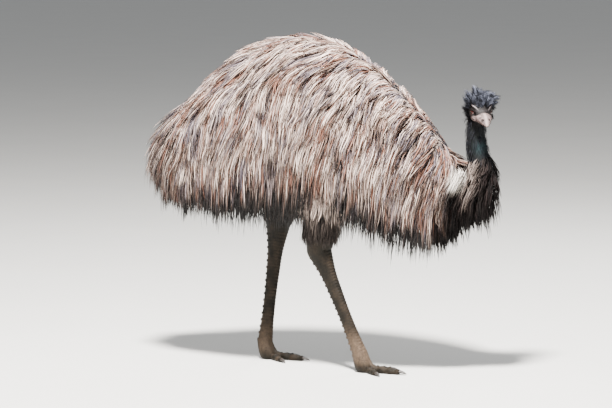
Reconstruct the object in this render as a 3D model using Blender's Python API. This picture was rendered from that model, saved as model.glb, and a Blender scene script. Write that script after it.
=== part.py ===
"""An adult emu in mid stride with its head turned to its right, as a still, life-size model.

The bird faces +X, its right side is -Y, and its soles stand on z = 0. Trunk, tail and neck are one run of
cross-sections parted by thin cuts, and so are the head with its bill, and each leg with its toes. The long
coat is flat, tapered locks that are fused to the piece they grow from.
"""

import math
import random

import bmesh
import bpy
import numpy as np
from mathutils import Matrix, Vector
from mathutils.bvhtree import BVHTree

# The frame: this point of the floor, in the bird's own measures, becomes the origin.
FLOOR_POINT = Vector((0.030, 0.0, 0.0))
GAP = 0.0003  # between pieces that touch
OVERRUN = 0.010  # how far a piece runs past a cut before it is made
CUTTER = 3.0
CLEARANCE = 0.0007  # between a lock and the locks of another piece that cross its path
X, Y, Z = Vector((1, 0, 0)), Vector((0, 1, 0)), Vector((0, 0, 1))

# Trunk: place along the body, height of the back, height of the belly, half width, all without the coat.
TRUNK = (
    (-0.540, 0.735, 0.610, 0.042),
    (-0.485, 0.810, 0.570, 0.092),
    (-0.400, 0.892, 0.545, 0.136),
    (-0.300, 0.990, 0.545, 0.170),
    (-0.180, 1.062, 0.550, 0.190),
    (-0.050, 1.088, 0.555, 0.200),
    (0.080, 1.072, 0.550, 0.197),
    (0.180, 1.017, 0.530, 0.187),
    (0.290, 0.926, 0.500, 0.165),
    (0.380, 0.834, 0.475, 0.135),
    (0.450, 0.750, 0.485, 0.100),
)
TAIL_ROOT = -0.400
NECK_ROOT = TRUNK[-1][0]
TRUNK_SIDES = 24
TRUNK_STEP = 0.070
WAIST = 0.42  # share of the trunk's height at which it is widest

# Locks of the coat: flat, tapered, and bent over what they grow from. Their width and depth are given as
# shares of the full ones at even steps from the root to the tip.
LOCK_WIDTHS = (0.50, 1.00, 0.95, 0.70, 0.0)
LOCK_DEPTHS = (0.90, 1.00, 0.90, 0.75, 0.0)
LOCK_SINK = 0.008
LOCK_RISE_POWER = 0.85
LOCK_ROLL = math.radians(11.0)
LOCK_SPREAD = 0.14  # how far length and width stray either way, as a share
SEEDS = {"torso": 20, "tail": 31, "neck": 22, "crest": 23, "thigh_left": 24, "thigh_right": 25}
# Trunk's locks: the angles from the parting at which their rows start, and their spacing along the body.
TRUNK_ROWS = (8.0, 31.0, 55.0, 80.0, 106.0)
TRUNK_LOCK = (0.205, 0.072, 0.0070)
LOCK_SPACING = 0.065
ROW_JITTER = 4.0
LIFT_RIDGE = 0.033
LIFT_FLANK = 0.046
FLANK_ROW = 75.0
TRUNK_PULL = (-0.55, 0.45, -1.0)
TAIL_ROWS = (16.0, 50.0, 86.0, 124.0)
TAIL_LOCK = (0.170, 0.066, 0.0070)
TAIL_PULL = (-0.85, 0.30, -1.0)
# The fringe: how low the tips of the locks hang, place along the body and height over the floor.
FRINGE = (
    (-0.620, 0.600), (-0.560, 0.570), (-0.475, 0.536), (-0.400, 0.508), (-0.316, 0.490), (-0.076, 0.478),
    (0.027, 0.500), (0.180, 0.468), (0.250, 0.437), (0.314, 0.402), (0.385, 0.380), (0.450, 0.415),
    (0.513, 0.437), (0.589, 0.472), (0.630, 0.505), (0.660, 0.540),
)
NO_FRINGE = ((0.0, -1.0),)
FRINGE_JITTER = 0.018
SHORTEST = 0.45  # a lock that the fringe would cut shorter than this share of its length is left out

# Neck, from the breast round the low bend and up to the skull: centre, climb in degrees, half width, half height.
NECK = (
    (0.450, 0.000, 0.612, 0.0, 0.1000, 0.1290),
    (0.503, -0.001, 0.588, 14.0, 0.0780, 0.0990),
    (0.550, -0.003, 0.592, 40.0, 0.0600, 0.0700),
    (0.572, -0.005, 0.632, 66.0, 0.0500, 0.0550),
    (0.574, -0.006, 0.680, 86.0, 0.0440, 0.0460),
    (0.563, -0.006, 0.725, 96.0, 0.0395, 0.0400),
    (0.557, -0.006, 0.780, 94.0, 0.0350, 0.0360),
    (0.558, -0.004, 0.845, 90.0, 0.0320, 0.0330),
)
NECK_PARTING = 0.60  # share of the neck's length where the ruff ends
NECK_SIDES = 12
NECK_LOCK = (0.115, 0.050, 0.0065)
NECK_ROWS = (0.08, 0.23, 0.38, 0.53)
NECK_ROW_LOCKS = 7
NECK_LIFT = 0.022
NECK_PULL = (-0.20, 0.45, -1.0)

# Head, in its own frame: +X to the bill's tip, +Y to its left, +Z up, origin midway between the eyes.
EYES_MIDPOINT = Vector((0.583, -0.036, 0.858))
HEAD_TURN = math.radians(-61.0)
HEAD_NOD = math.radians(13.0)
# place along the head, height of the crown or culmen, depth of the throat, half width, roundness of the top
HEAD = (
    (-0.066, 0.012, -0.016, 0.012, 2.0),
    (-0.058, 0.023, -0.028, 0.024, 2.0),
    (-0.040, 0.033, -0.039, 0.0335, 2.1),
    (-0.018, 0.037, -0.043, 0.0365, 2.2),
    (0.004, 0.032, -0.041, 0.0345, 2.1),
    (0.022, 0.022, -0.0365, 0.0295, 2.0),
    (0.036, 0.010, -0.0325, 0.0255, 1.8),
    (0.050, 0.0035, -0.0300, 0.0225, 1.7),
    (0.066, 0.0010, -0.0285, 0.0182, 1.6),
    (0.080, -0.0050, -0.0275, 0.0128, 1.6),
    (0.091, -0.0120, -0.0265, 0.0078, 1.7),
    (0.098, -0.0190, -0.0250, 0.0032, 2.0),
)
BILL_ROOT = 0.036
HEAD_SIDES = 18
HEAD_WAIST = 0.55  # share of the head's height at which it is widest
GAPE = Vector((-0.002, 0.0, -0.0180))
BILL_TIP = Vector((0.100, 0.0, -0.0235))
MOUTH_GAP = 0.0008
MOUTH_BLADE = (0.032, 0.030, 0.0012)  # how far out it is, its width and its thickness
EYE_RADIUS = 0.0125
EYE_INSET = 0.0235
EYE_TOE_IN = math.radians(22.0)
EYE_LEVEL = -0.0035
LID_RADIUS = 0.0128
LID_THICKNESS = 0.0026
LID_REACH = 0.0098  # how far the lids' ring stands out from the eye's middle
LID_FLATNESS = 0.82
LID_SIDES = (14, 6)
# Brow and cheek: where each one is and its three radii.
BROW = ((0.004, 0.0265, 0.0175), (0.024, 0.0065, 0.0055))
BROW_TURN = (math.radians(16.0), math.radians(20.0))
CHEEK = ((0.006, 0.0240, -0.0200), (0.028, 0.0100, 0.0095))
NOSTRIL = Vector((0.072, 0.0100, -0.0055))
NOSTRIL_RADII = (0.0060, 0.0046, 0.0032)
NOSTRIL_TURN = math.radians(18.0)
EAR = Vector((-0.034, 0.0340, -0.0160))
EAR_RIM = (0.0085, 0.0045, 0.0075)
EAR_HOLE = (0.0040, 0.0080, 0.0050)
EAR_HOLE_OUT = 0.005
CREST_LOCK = (0.034, 0.0105, 0.0040)
CREST_ROWS = (-0.052, -0.036, -0.020, -0.004)
CREST_ANGLES = (-60.0, -22.0, 22.0, 60.0)
CREST_LIFT = 0.020

# Legs: hip end, knee, hock and ankle of each, and the way the foot points, anticlockwise seen from above.
LEGS = {
    "right": {
        "line": ((0.095, -0.115, 0.760), (0.075, -0.118, 0.560), (0.057, -0.100, 0.395), (0.192, -0.078, 0.055)),
        "heading": math.radians(-6.0),
        "inner": 1,
    },
    "left": {
        "line": ((-0.090, 0.115, 0.760), (-0.110, 0.112, 0.600), (-0.154, 0.085, 0.455), (-0.195, 0.066, 0.055)),
        "heading": math.radians(-4.0),
        "inner": -1,
    },
}
# share along the leg, half depth fore and aft, half width
LEG = (
    (0.00, 0.080, 0.056),
    (0.18, 0.076, 0.054),
    (0.33, 0.055, 0.044),
    (0.44, 0.042, 0.036),
    (0.50, 0.0325, 0.0280),
    (0.56, 0.0255, 0.0230),
    (0.66, 0.0215, 0.0190),
    (0.80, 0.0190, 0.0170),
    (0.92, 0.0205, 0.0195),
    (1.00, 0.0240, 0.0240),
)
HOCK_SHARE = 0.44
KNEE_SHARE = 0.23
LEG_SIDES = 11
SCUTE_RISE = 0.0018
SCUTES = 14
THIGH_LOCK = (0.090, 0.048, 0.0060)
THIGH_ROWS = (0.22, 0.30)
THIGH_ROW_LOCKS = 5
THIGH_LIFT = 0.014
THIGH_PULL = (-0.10, 0.0, -1.0)

# Toes: name, length to the claw, spread from the heading, half width and half height at the root and at the claw.
TOES = (
    ("middle", 0.122, 0.0, 0.0150, 0.0150, 0.0110, 0.0085),
    ("inner", 0.088, 38.0, 0.0115, 0.0125, 0.0090, 0.0075),
    ("outer", 0.084, -40.0, 0.0115, 0.0125, 0.0090, 0.0075),
)
FOOT_AHEAD = 0.016  # how far the foot's middle lies ahead of the ankle
# height over the floor, half depth and half width of the foot's own cross-sections, and how far ahead each lies
FOOT = (
    (0.038, 0.0290, 0.0270, 0.35),
    (0.022, 0.0330, 0.0300, 0.80),
    (0.008, 0.0310, 0.0285, 1.00),
    (0.0015, 0.0250, 0.0240, 1.00),
)
TOE_ROOT = 0.046
TOE_SIDES = 10
TOE_PADS = 4
TOE_SWELL = 0.10
SOLE_LEVEL = 0.82  # height of a toe's middle over the floor, as a share of its half height
CLAW_LENGTH = 0.026
CLAW_DROP = 0.0022
CLAW_SIDES = 8
CLAW_RINGS = ((0.0, 0.72), (0.3, 0.66), (0.65, 0.45), (1.0, 0.12))  # share along it, share of the toe's size

COLOURS = {
    "plumage": ((0.17, 0.125, 0.10), 0.85),
    "ruff": ((0.05, 0.042, 0.04), 0.85),
    "head_skin": ((0.045, 0.05, 0.055), 0.6),
    "bill_horn": ((0.30, 0.25, 0.24), 0.45),
    "leg_scale": ((0.085, 0.07, 0.05), 0.55),
    "claw_horn": ((0.03, 0.027, 0.025), 0.35),
    "eye": ((0.10, 0.03, 0.01), 0.08),
}


def clear_scene():
    for obj in list(bpy.data.objects):
        bpy.data.objects.remove(obj)


def material(name):
    """A Principled material for one of the bird's surfaces."""
    made = bpy.data.materials.get(name)
    if made is None:
        colour, roughness = COLOURS[name]
        made = bpy.data.materials.new(name)
        made.use_nodes = True
        shader = made.node_tree.nodes["Principled BSDF"]
        shader.inputs["Base Color"].default_value = (*colour, 1.0)
        shader.inputs["Roughness"].default_value = roughness
    return made


def smooth(stations, place):
    """The values at a place on smooth curves through the stations, whose first value is their own place."""
    table = np.asarray(stations, float)
    x, values = table[:, 0], table[:, 1:]
    slopes = np.gradient(values, x, axis=0)
    k = int(np.clip(np.searchsorted(x, place) - 1, 0, len(x) - 2))
    span = x[k + 1] - x[k]
    t = float(np.clip((place - x[k]) / span, 0.0, 1.0))
    near = (1 + 2 * t) * (1 - t) ** 2 * values[k] + t * (1 - t) ** 2 * span * slopes[k]
    far = t * t * (3 - 2 * t) * values[k + 1] + t * t * (t - 1) * span * slopes[k + 1]
    return near + far


def oval(centre, across, up, half_width, rise, drop, sides, top_power=2.0, low_power=2.0):
    """A ring of points: an oval with its own height above and below the centre, square-shouldered above power 2."""
    points = []
    for k in range(sides):
        angle = 2 * math.pi * (k + 0.5) / sides
        s, c = math.sin(angle), math.cos(angle)
        power = top_power if c > 0 else low_power
        wide = half_width * math.copysign(abs(s) ** (2 / power), s)
        high = (rise if c > 0 else drop) * math.copysign(abs(c) ** (2 / power), c)
        points.append(centre + across * wide + up * high)
    return points


def mesh_object(name, bm, slot, smooth_over=40.0):
    """An object of that name from the bmesh, with closed faces pointing out."""
    bmesh.ops.recalc_face_normals(bm, faces=bm.faces)
    mesh = bpy.data.meshes.new(name)
    bm.to_mesh(mesh)
    bm.free()
    mesh.materials.append(material(slot))
    mesh.shade_smooth()
    mesh.set_sharp_from_angle(angle=math.radians(smooth_over))
    obj = bpy.data.objects.new(name, mesh)
    bpy.context.scene.collection.objects.link(obj)
    return obj


def loft(name, rings, slot):
    """A closed skin over rings of equally many points, with flat ends. The faces are triangles all round."""
    bm = bmesh.new()
    loops = [[bm.verts.new(p) for p in ring] for ring in rings]
    count = len(loops[0])
    for a, b in zip(loops, loops[1:]):
        for k in range(count):
            m = (k + 1) % count
            bm.faces.new((a[k], a[m], b[m]))
            bm.faces.new((a[k], b[m], b[k]))
    bm.faces.new(loops[0][::-1])
    bm.faces.new(loops[-1])
    return mesh_object(name, bm, slot)


def ball(name, centre, radii, slot, turn=None, fineness=2):
    """A closed ball stretched to three radii."""
    bm = bmesh.new()
    bmesh.ops.create_icosphere(bm, subdivisions=fineness, radius=1.0)
    matrix = Matrix.Translation(centre) @ (turn or Matrix.Identity(4)) @ Matrix.Diagonal((*radii, 1.0))
    bmesh.ops.transform(bm, matrix=matrix, verts=bm.verts)
    return mesh_object(name, bm, slot)


def half_space(point, normal, slot):
    """A large box whose one face passes through the point; the box is on the side the normal points to."""
    bm = bmesh.new()
    bmesh.ops.create_cube(bm, size=CUTTER)
    turn = Vector(normal).to_track_quat("Z", "Y").to_matrix().to_4x4()
    place = Matrix.Translation(Vector(point) + Vector(normal) * CUTTER / 2)
    bmesh.ops.transform(bm, matrix=place @ turn, verts=bm.verts)
    return mesh_object("half_space", bm, slot)


def boolean(target, others, operation):
    """Joins the other objects to the target or cuts them from it, and removes them."""
    group = bpy.data.collections.new("joining")
    bpy.context.scene.collection.children.link(group)
    for other in others:
        bpy.context.scene.collection.objects.unlink(other)
        group.objects.link(other)
    join = target.modifiers.new("join", "BOOLEAN")
    join.operation = operation
    join.operand_type = "COLLECTION"
    join.collection = group
    join.solver = "MANIFOLD"
    bpy.context.view_layer.update()
    graph = bpy.context.evaluated_depsgraph_get()
    made = bpy.data.meshes.new_from_object(target.evaluated_get(graph))
    target.modifiers.clear()
    target.data = made
    for other in others:
        bpy.data.objects.remove(other)
    bpy.data.collections.remove(group)
    keep_largest(target)


def keep_largest(obj):
    """Drops every closed surface of the object but its largest."""
    bm = bmesh.new()
    bm.from_mesh(obj.data)
    waiting = set(bm.verts)
    shells = []
    while waiting:
        shell, edge = [], [waiting.pop()]
        while edge:
            vert = edge.pop()
            shell.append(vert)
            for link in vert.link_edges:
                other = link.other_vert(vert)
                if other in waiting:
                    waiting.remove(other)
                    edge.append(other)
        shells.append(shell)
    shells.sort(key=span_of, reverse=True)
    loose = [vert for shell in shells[1:] for vert in shell]
    bmesh.ops.delete(bm, geom=loose, context="VERTS")
    bm.to_mesh(obj.data)
    bm.free()


def span_of(verts):
    """The diagonal of the box round some vertices."""
    places = np.array([v.co for v in verts])
    return float(np.linalg.norm(places.max(axis=0) - places.min(axis=0)))


def grown_copy(obj):
    """A copy of the object, swollen by a little over the gap."""
    bm = bmesh.new()
    bm.from_mesh(obj.data)
    for vert in bm.verts:
        vert.co += vert.normal * GAP * 1.3
    return mesh_object("grown", bm, obj.data.materials[0].name)


def surface_of(obj):
    """The object's surface, ready for rays and nearest points."""
    bm = bmesh.new()
    bm.from_mesh(obj.data)
    tree = BVHTree.FromBMesh(bm)
    bm.free()
    return tree


def hanging(pull):
    """The lie of locks that a pull lays along the surface, and that hang straight down where it turns under."""
    def lie(point, out):
        whole = Vector((pull[0], math.copysign(pull[1], point.y), pull[2]))
        along = (whole - out * whole.dot(out)).normalized()
        hold = min(1.0, max(0.0, (out.z + 0.45) / 0.45))
        return (along * hold - Z * (1.0 - hold)).normalized()
    return lie


def lock_path(surface, root, lie, length, lift):
    """Points and outward directions along a lock that rises from its root and lies over the surface."""
    near, out, _, _ = surface.find_nearest(root)
    here = Vector(near)
    points, outs = [near - out * LOCK_SINK], [out]
    count = len(LOCK_WIDTHS) - 1
    for k in range(1, count + 1):
        here = here + lie(here, out) * (length / count)
        near, facing, _, _ = surface.find_nearest(here)
        high = (here - near).dot(facing)
        wanted = lift * (k / count) ** LOCK_RISE_POWER
        if high < wanted:
            here = here + facing * (wanted - high)
        out = (out + facing).normalized()
        points.append(here.copy())
        outs.append(out)
    return points, outs


def lock(points, outs, width, depth, roll, slot, swell):
    """A flat lock with a ridge along its outer face, over the points of its path. It ends in a point.

    A swell makes the room that such a lock takes: it is that much larger all round, and blunt.
    """
    bm = bmesh.new()
    rows = []
    last = len(points) - 1
    for k, (wide, deep) in enumerate(zip(LOCK_WIDTHS, LOCK_DEPTHS)):
        along = (points[min(last, k + 1)] - points[max(0, k - 1)]).normalized()
        across = along.cross(outs[k]).normalized()
        across = Matrix.Rotation(roll, 3, along) @ across
        up = across.cross(along)
        edge, ridge = width * wide / 2, depth * deep
        section = [(-edge, 0.0), (0.0, ridge), (edge, 0.0)]
        if swell:
            edge, ridge = edge + swell * 2, ridge + swell * 1.5
            section = [(-edge, -swell), (-edge, swell), (0.0, ridge), (edge, swell), (edge, -swell)]
        elif k == last:
            section = [(0.0, 0.0)]
        here = points[k] + along * swell * ((k == last) - (k == 0))
        rows.append([bm.verts.new(here + across * x + up * y) for x, y in section])
    for a, b in zip(rows, rows[1:]):
        for k in range(len(a)):
            m = (k + 1) % len(a)
            if len(b) == 1:
                bm.faces.new((a[k], a[m], b[0]))
            elif k == 0:
                bm.faces.new((a[k], a[m], b[m]))
                bm.faces.new((a[k], b[m], b[k]))
            else:
                bm.faces.new((a[k], a[m], b[k]))
                bm.faces.new((a[m], b[m], b[k]))
    bm.faces.new(rows[0])
    if swell:
        bm.faces.new(rows[-1])
    return mesh_object("lock", bm, slot)


def coat(surface, roots, lie, sizes, seed, slot, fringe=FRINGE, swell=0.0):
    """A lock from each root, whose own lift comes with it. Their sizes stray a little, down to the fringe."""
    dice = random.Random(seed)
    length, width, depth = sizes
    locks = []
    for root, lift in roots:
        whole = length * (1.0 + dice.uniform(-LOCK_SPREAD, LOCK_SPREAD))
        broad = width * (1.0 + dice.uniform(-LOCK_SPREAD, LOCK_SPREAD))
        roll = LOCK_ROLL * dice.uniform(0.6, 1.4)
        jitter = dice.uniform(-FRINGE_JITTER, FRINGE_JITTER)
        points, outs = lock_path(surface, root, lie, whole, lift)
        tip = points[-1]
        lowest = float(np.interp(tip.x, *zip(*fringe))) + jitter
        share = (root.z - lowest) / max(root.z - tip.z, GAP)
        if tip.z < lowest and share > SHORTEST:
            points, outs = lock_path(surface, root, lie, whole * share, lift)
        if tip.z < lowest and share <= SHORTEST or not runs_smoothly(points):
            continue
        made = lock(points, outs, broad, depth, roll, slot, 0.0)
        if not crosses_itself(made):
            locks.append(lock(points, outs, broad, depth, roll, slot, swell))
        bpy.data.objects.remove(made)
    return locks


def runs_smoothly(points):
    """Whether a path nowhere turns by more than a right angle's two thirds."""
    steps = [(b - a).normalized() for a, b in zip(points[1:], points[2:])]
    return all(a.dot(b) > 0.5 for a, b in zip(steps, steps[1:]))


def crosses_itself(obj):
    """Whether two of the object's faces that share no corner cut each other."""
    bm = bmesh.new()
    bm.from_mesh(obj.data)
    bm.faces.ensure_lookup_table()
    tree = BVHTree.FromBMesh(bm)
    corners = [set(face.verts) for face in bm.faces]
    crossed = any(not corners[i] & corners[j] for i, j in tree.overlap(tree))
    bm.free()
    return crossed


def trunk_ring(x):
    """The trunk's cross-section at x, without the coat."""
    back, belly, half_width = smooth(TRUNK, x)
    widest = belly + WAIST * (back - belly)
    return oval(Vector((x, 0.0, widest)), Y, Z, half_width, back - widest, widest - belly, TRUNK_SIDES, 2.0, 2.4)


def trunk_run(name, start, end):
    steps = max(2, round(abs(end - start) / TRUNK_STEP))
    return loft(name, [trunk_ring(x) for x in np.linspace(start, end, steps + 1)], "plumage")


def trunk_roots(surface, start, end, rows, dice):
    """Roots in rows that run along the body at set angles from the parting, each row half a step on."""
    roots = []
    count = max(2, round(abs(end - start) / LOCK_SPACING))
    for number, row in enumerate(rows):
        lift = LIFT_RIDGE + (LIFT_FLANK - LIFT_RIDGE) * min(1.0, row / FLANK_ROW)
        for k in range(count):
            share = (k + 0.25 + 0.5 * (number % 2)) / count
            for side in (1, -1):
                x = start + (end - start) * share + dice.uniform(-0.2, 0.2) * LOCK_SPACING
                angle = math.radians(row + dice.uniform(-ROW_JITTER, ROW_JITTER))
                back, belly, _ = smooth(TRUNK, x)
                middle = Vector((x, 0.0, belly + WAIST * (back - belly)))
                hit = surface.ray_cast(middle, Vector((0.0, side * math.sin(angle), math.cos(angle))))[0]
                if hit:
                    roots.append((hit, lift))
    return roots


def make_torso(room):
    """The trunk with its locks, cut free of the thighs, the tail and the neck."""
    dice = random.Random(SEEDS["torso"])
    torso = trunk_run("torso", TAIL_ROOT - OVERRUN, NECK_ROOT + OVERRUN)
    surface = surface_of(torso)
    roots = trunk_roots(surface, TAIL_ROOT, NECK_ROOT, TRUNK_ROWS, dice)
    boolean(torso, coat(surface, roots, hanging(TRUNK_PULL), TRUNK_LOCK, SEEDS["torso"], "plumage"), "UNION")
    ends = [
        half_space((TAIL_ROOT + GAP / 2, 0, 0), -X, "plumage"),
        half_space((NECK_ROOT - GAP / 2, 0, 0), X, "plumage"),
    ]
    boolean(torso, ends + room, "DIFFERENCE")


def make_tail():
    """The rump's hanging end, behind the trunk."""
    dice = random.Random(SEEDS["tail"])
    tail = trunk_run("tail", TRUNK[0][0], TAIL_ROOT + OVERRUN)
    surface = surface_of(tail)
    roots = trunk_roots(surface, TRUNK[0][0], TAIL_ROOT, TAIL_ROWS, dice)
    boolean(tail, coat(surface, roots, hanging(TAIL_PULL), TAIL_LOCK, SEEDS["tail"], "plumage"), "UNION")
    boolean(tail, [half_space((TAIL_ROOT - GAP / 2, 0, 0), X, "plumage")], "DIFFERENCE")


def neck_frame(share):
    """Centre of the neck at a share of its length, the ways along, across and up, and its half sizes."""
    stations = [(k / (len(NECK) - 1), *row) for k, row in enumerate(NECK)]
    x, y, z, climb, half_width, half_height = smooth(stations, share)
    along = Vector((math.cos(math.radians(climb)), 0.0, math.sin(math.radians(climb))))
    return Vector((x, y, z)), along, Y, along.cross(Y), half_width, half_height


def neck_ring(share, shift=0.0):
    centre, along, across, up, half_width, half_height = neck_frame(share)
    return oval(centre + along * shift, across, up, half_width, half_height, half_height, NECK_SIDES)


def neck_roots(surface, dice):
    """Roots of the ruff's locks, in rings round the neck."""
    roots = []
    for number, row in enumerate(NECK_ROWS):
        centre, _, across, up, _, _ = neck_frame(row)
        for k in range(NECK_ROW_LOCKS):
            angle = 2 * math.pi * (k + 0.5 * (number % 2) + dice.uniform(-0.12, 0.12)) / NECK_ROW_LOCKS
            hit = surface.ray_cast(centre, across * math.sin(angle) + up * math.cos(angle))[0]
            if hit:
                roots.append((hit, NECK_LIFT))
    return roots


def make_neck(room):
    """Lower neck with its ruff, and upper neck, whose end is cut to the back of the skull."""
    dice = random.Random(SEEDS["neck"])
    rings = [neck_ring(0.0, -OVERRUN)] + [neck_ring(s) for s in np.linspace(0.0, NECK_PARTING - GAP, 11)]
    lower = loft("neck_lower", rings, "ruff")
    surface = surface_of(lower)
    roots = neck_roots(surface, dice)
    boolean(lower, coat(surface, roots, hanging(NECK_PULL), NECK_LOCK, SEEDS["neck"], "ruff"), "UNION")
    boolean(lower, [half_space((NECK_ROOT + GAP / 2, 0, 0), -X, "ruff")], "DIFFERENCE")
    upper = loft("neck_upper", [neck_ring(s) for s in np.linspace(NECK_PARTING + GAP, 1.0, 8)], "ruff")
    boolean(upper, room, "DIFFERENCE")


def head_ring(x):
    crown, throat, half_width, power = smooth(HEAD, x)
    widest = throat + HEAD_WAIST * (crown - throat)
    return oval(Vector((x, 0.0, widest)), Y, Z, half_width, crown - widest, widest - throat, HEAD_SIDES, power, 2.2)


def head_run(name, start, end, rings, slot):
    return loft(name, [head_ring(x) for x in np.linspace(start, end, rings)], slot)


def each_side(point):
    """The point and its mirror image, with the side's name and sign."""
    return [("left", 1, Vector(point)), ("right", -1, Vector((point[0], -point[1], point[2])))]


def lid_ring(name, centre, sign):
    """A rim round the eye, as the lids are."""
    bm = bmesh.new()
    turn = Matrix.Rotation(-sign * EYE_TOE_IN, 4, "Z") @ Matrix.Rotation(math.pi / 2, 4, "X")
    steps, tube = LID_SIDES
    rows = []
    for i in range(steps):
        a = 2 * math.pi * i / steps
        row = []
        for j in range(tube):
            b = 2 * math.pi * j / tube
            reach = LID_RADIUS + LID_THICKNESS * math.cos(b)
            local = Vector((reach * math.cos(a), reach * LID_FLATNESS * math.sin(a), LID_THICKNESS * math.sin(b)))
            row.append(bm.verts.new(Matrix.Translation(centre) @ turn @ local))
        rows.append(row)
    for i in range(steps):
        for j in range(tube):
            a, b = rows[i], rows[(i + 1) % steps]
            m = (j + 1) % tube
            bm.faces.new((a[j], a[m], b[m]))
            bm.faces.new((a[j], b[m], b[j]))
    return mesh_object(name, bm, "head_skin")


def crest(surface):
    """What the coat needs for the upright, hair-like locks of the crown and nape."""
    dice = random.Random(SEEDS["crest"])
    roots = []
    for number, place in enumerate(CREST_ROWS):
        for angle in CREST_ANGLES:
            stray = math.radians(angle + 10.0 * (number % 2) + dice.uniform(-6.0, 6.0))
            hit = surface.ray_cast(Vector((place, 0.0, -0.004)), Vector((-0.25, math.sin(stray), math.cos(stray))))[0]
            if hit:
                roots.append((hit, CREST_LIFT))

    def lie(point, out):
        return (out * 0.35 + Vector((-0.8, 0.0, 0.35))).normalized()

    return surface, roots, lie, CREST_LOCK, SEEDS["crest"], "head_skin", NO_FRINGE


def make_face():
    """Skull, brows, cheeks and lids, with the sockets, the ear holes and the line of the mouth cut in."""
    head = head_run("head", HEAD[0][0], BILL_ROOT, 11, "head_skin")
    hair = crest(surface_of(head))
    added, cut = [], []
    for side, sign, eye in each_side((0.0, EYE_INSET, EYE_LEVEL)):
        outward = Vector((math.sin(EYE_TOE_IN), sign * math.cos(EYE_TOE_IN), 0.0))
        added.append(lid_ring("lids", eye + outward * LID_REACH, sign))
        brow_turn = Matrix.Rotation(-sign * BROW_TURN[0], 4, "Z") @ Matrix.Rotation(BROW_TURN[1], 4, "Y")
        brow, cheek = (Vector((x, sign * y, z)) for x, y, z in (BROW[0], CHEEK[0]))
        added.append(ball("brow", brow, BROW[1], "head_skin", brow_turn))
        added.append(ball("cheek", cheek, CHEEK[1], "head_skin", fineness=1))
        cut.append(ball("socket", eye, (EYE_RADIUS + GAP * 1.3,) * 3, "head_skin"))
        ball(f"eye_{side}", eye, (EYE_RADIUS,) * 3, "eye")
    for side, sign, ear in each_side(EAR):
        added.append(ball("ear_rim", ear, EAR_RIM, "head_skin", fineness=1))
        cut.append(ball("ear_hole", ear + Y * sign * EAR_HOLE_OUT, EAR_HOLE, "head_skin", fineness=1))
    room = [grown_copy(piece) for piece in (head, *added)] + coat(*hair, swell=CLEARANCE)
    boolean(head, added + coat(*hair), "UNION")
    boolean(head, cut + mouth_cutters(), "DIFFERENCE")
    return room


def mouth_cutters():
    """Thin blades that carry the line of the mouth back from the bill to the gape, one on each side."""
    cutters = []
    reach = BILL_ROOT - GAPE.x
    way = BILL_TIP - GAPE
    turn = Matrix.Rotation(-math.atan2(way.z, way.x), 4, "Y")
    out, wide, thick = MOUTH_BLADE
    for side, sign, corner in each_side((GAPE.x, out, GAPE.z)):
        bm = bmesh.new()
        bmesh.ops.create_cube(bm, size=1.0)
        middle = corner + X * (reach / 2 + 0.002)
        size = Matrix.Diagonal((reach + 0.004, wide, thick, 1.0))
        bmesh.ops.transform(bm, matrix=Matrix.Translation(middle) @ turn @ size, verts=bm.verts)
        cutters.append(mesh_object("mouth_line", bm, "head_skin"))
    return cutters


def make_bill():
    """The two halves of the bill, parted along the mouth, with the nostrils let into the upper one."""
    way = (BILL_TIP - GAPE).normalized()
    above = Vector((-way.z, 0.0, way.x))
    upper = head_run("bill_upper", BILL_ROOT + GAP, HEAD[-1][0], 9, "bill_horn")
    lower = head_run("bill_lower", BILL_ROOT + GAP, HEAD[-1][0], 9, "bill_horn")
    turn = Matrix.Rotation(NOSTRIL_TURN, 4, "Y")
    holes = [ball("nostril", place, NOSTRIL_RADII, "bill_horn", turn, 1) for _, _, place in each_side(NOSTRIL)]
    boolean(upper, [half_space(GAPE + above * MOUTH_GAP / 2, -above, "bill_horn"), *holes], "DIFFERENCE")
    boolean(lower, [half_space(GAPE - above * MOUTH_GAP / 2, above, "bill_horn")], "DIFFERENCE")


def make_head():
    """Head, bill and eyes, modelled in the head's own frame and then set on the neck. Returns the head's room."""
    room = make_face()
    make_bill()
    place = Matrix.Translation(EYES_MIDPOINT) @ Matrix.Rotation(HEAD_TURN, 4, "Z") @ Matrix.Rotation(HEAD_NOD, 4, "Y")
    pieces = [bpy.data.objects[name] for name in ("head", "bill_upper", "bill_lower", "eye_left", "eye_right")]
    for piece in pieces + room:
        piece.data.transform(place)
    return room


def leg_point(leg, share):
    """A point of the leg's line, which is straight between hip end, knee, hock and ankle."""
    places = (0.0, KNEE_SHARE, HOCK_SHARE, 1.0)
    share = min(1.0, max(0.0, share))
    k = max(i for i in range(len(places) - 1) if share >= places[i])
    t = (share - places[k]) / (places[k + 1] - places[k])
    return Vector(leg["line"][k]).lerp(Vector(leg["line"][k + 1]), t)


def leg_axes(leg, share):
    """Direction of the leg at a share of its length, with the ways forward and across it."""
    direction = (leg_point(leg, share + 0.01) - leg_point(leg, share - 0.01)).normalized()
    fore = Vector((math.cos(leg["heading"]), math.sin(leg["heading"]), 0.0))
    fore = (fore - direction * fore.dot(direction)).normalized()
    return direction, fore, direction.cross(fore).normalized()


def leg_ring(leg, share, rise=0.0, shift=0.0):
    direction, fore, across = leg_axes(leg, share)
    half_depth, half_width = smooth(LEG, share)
    centre = leg_point(leg, share) + direction * shift
    return oval(centre, across, fore, half_width, half_depth + rise, half_depth + rise, LEG_SIDES)


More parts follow.
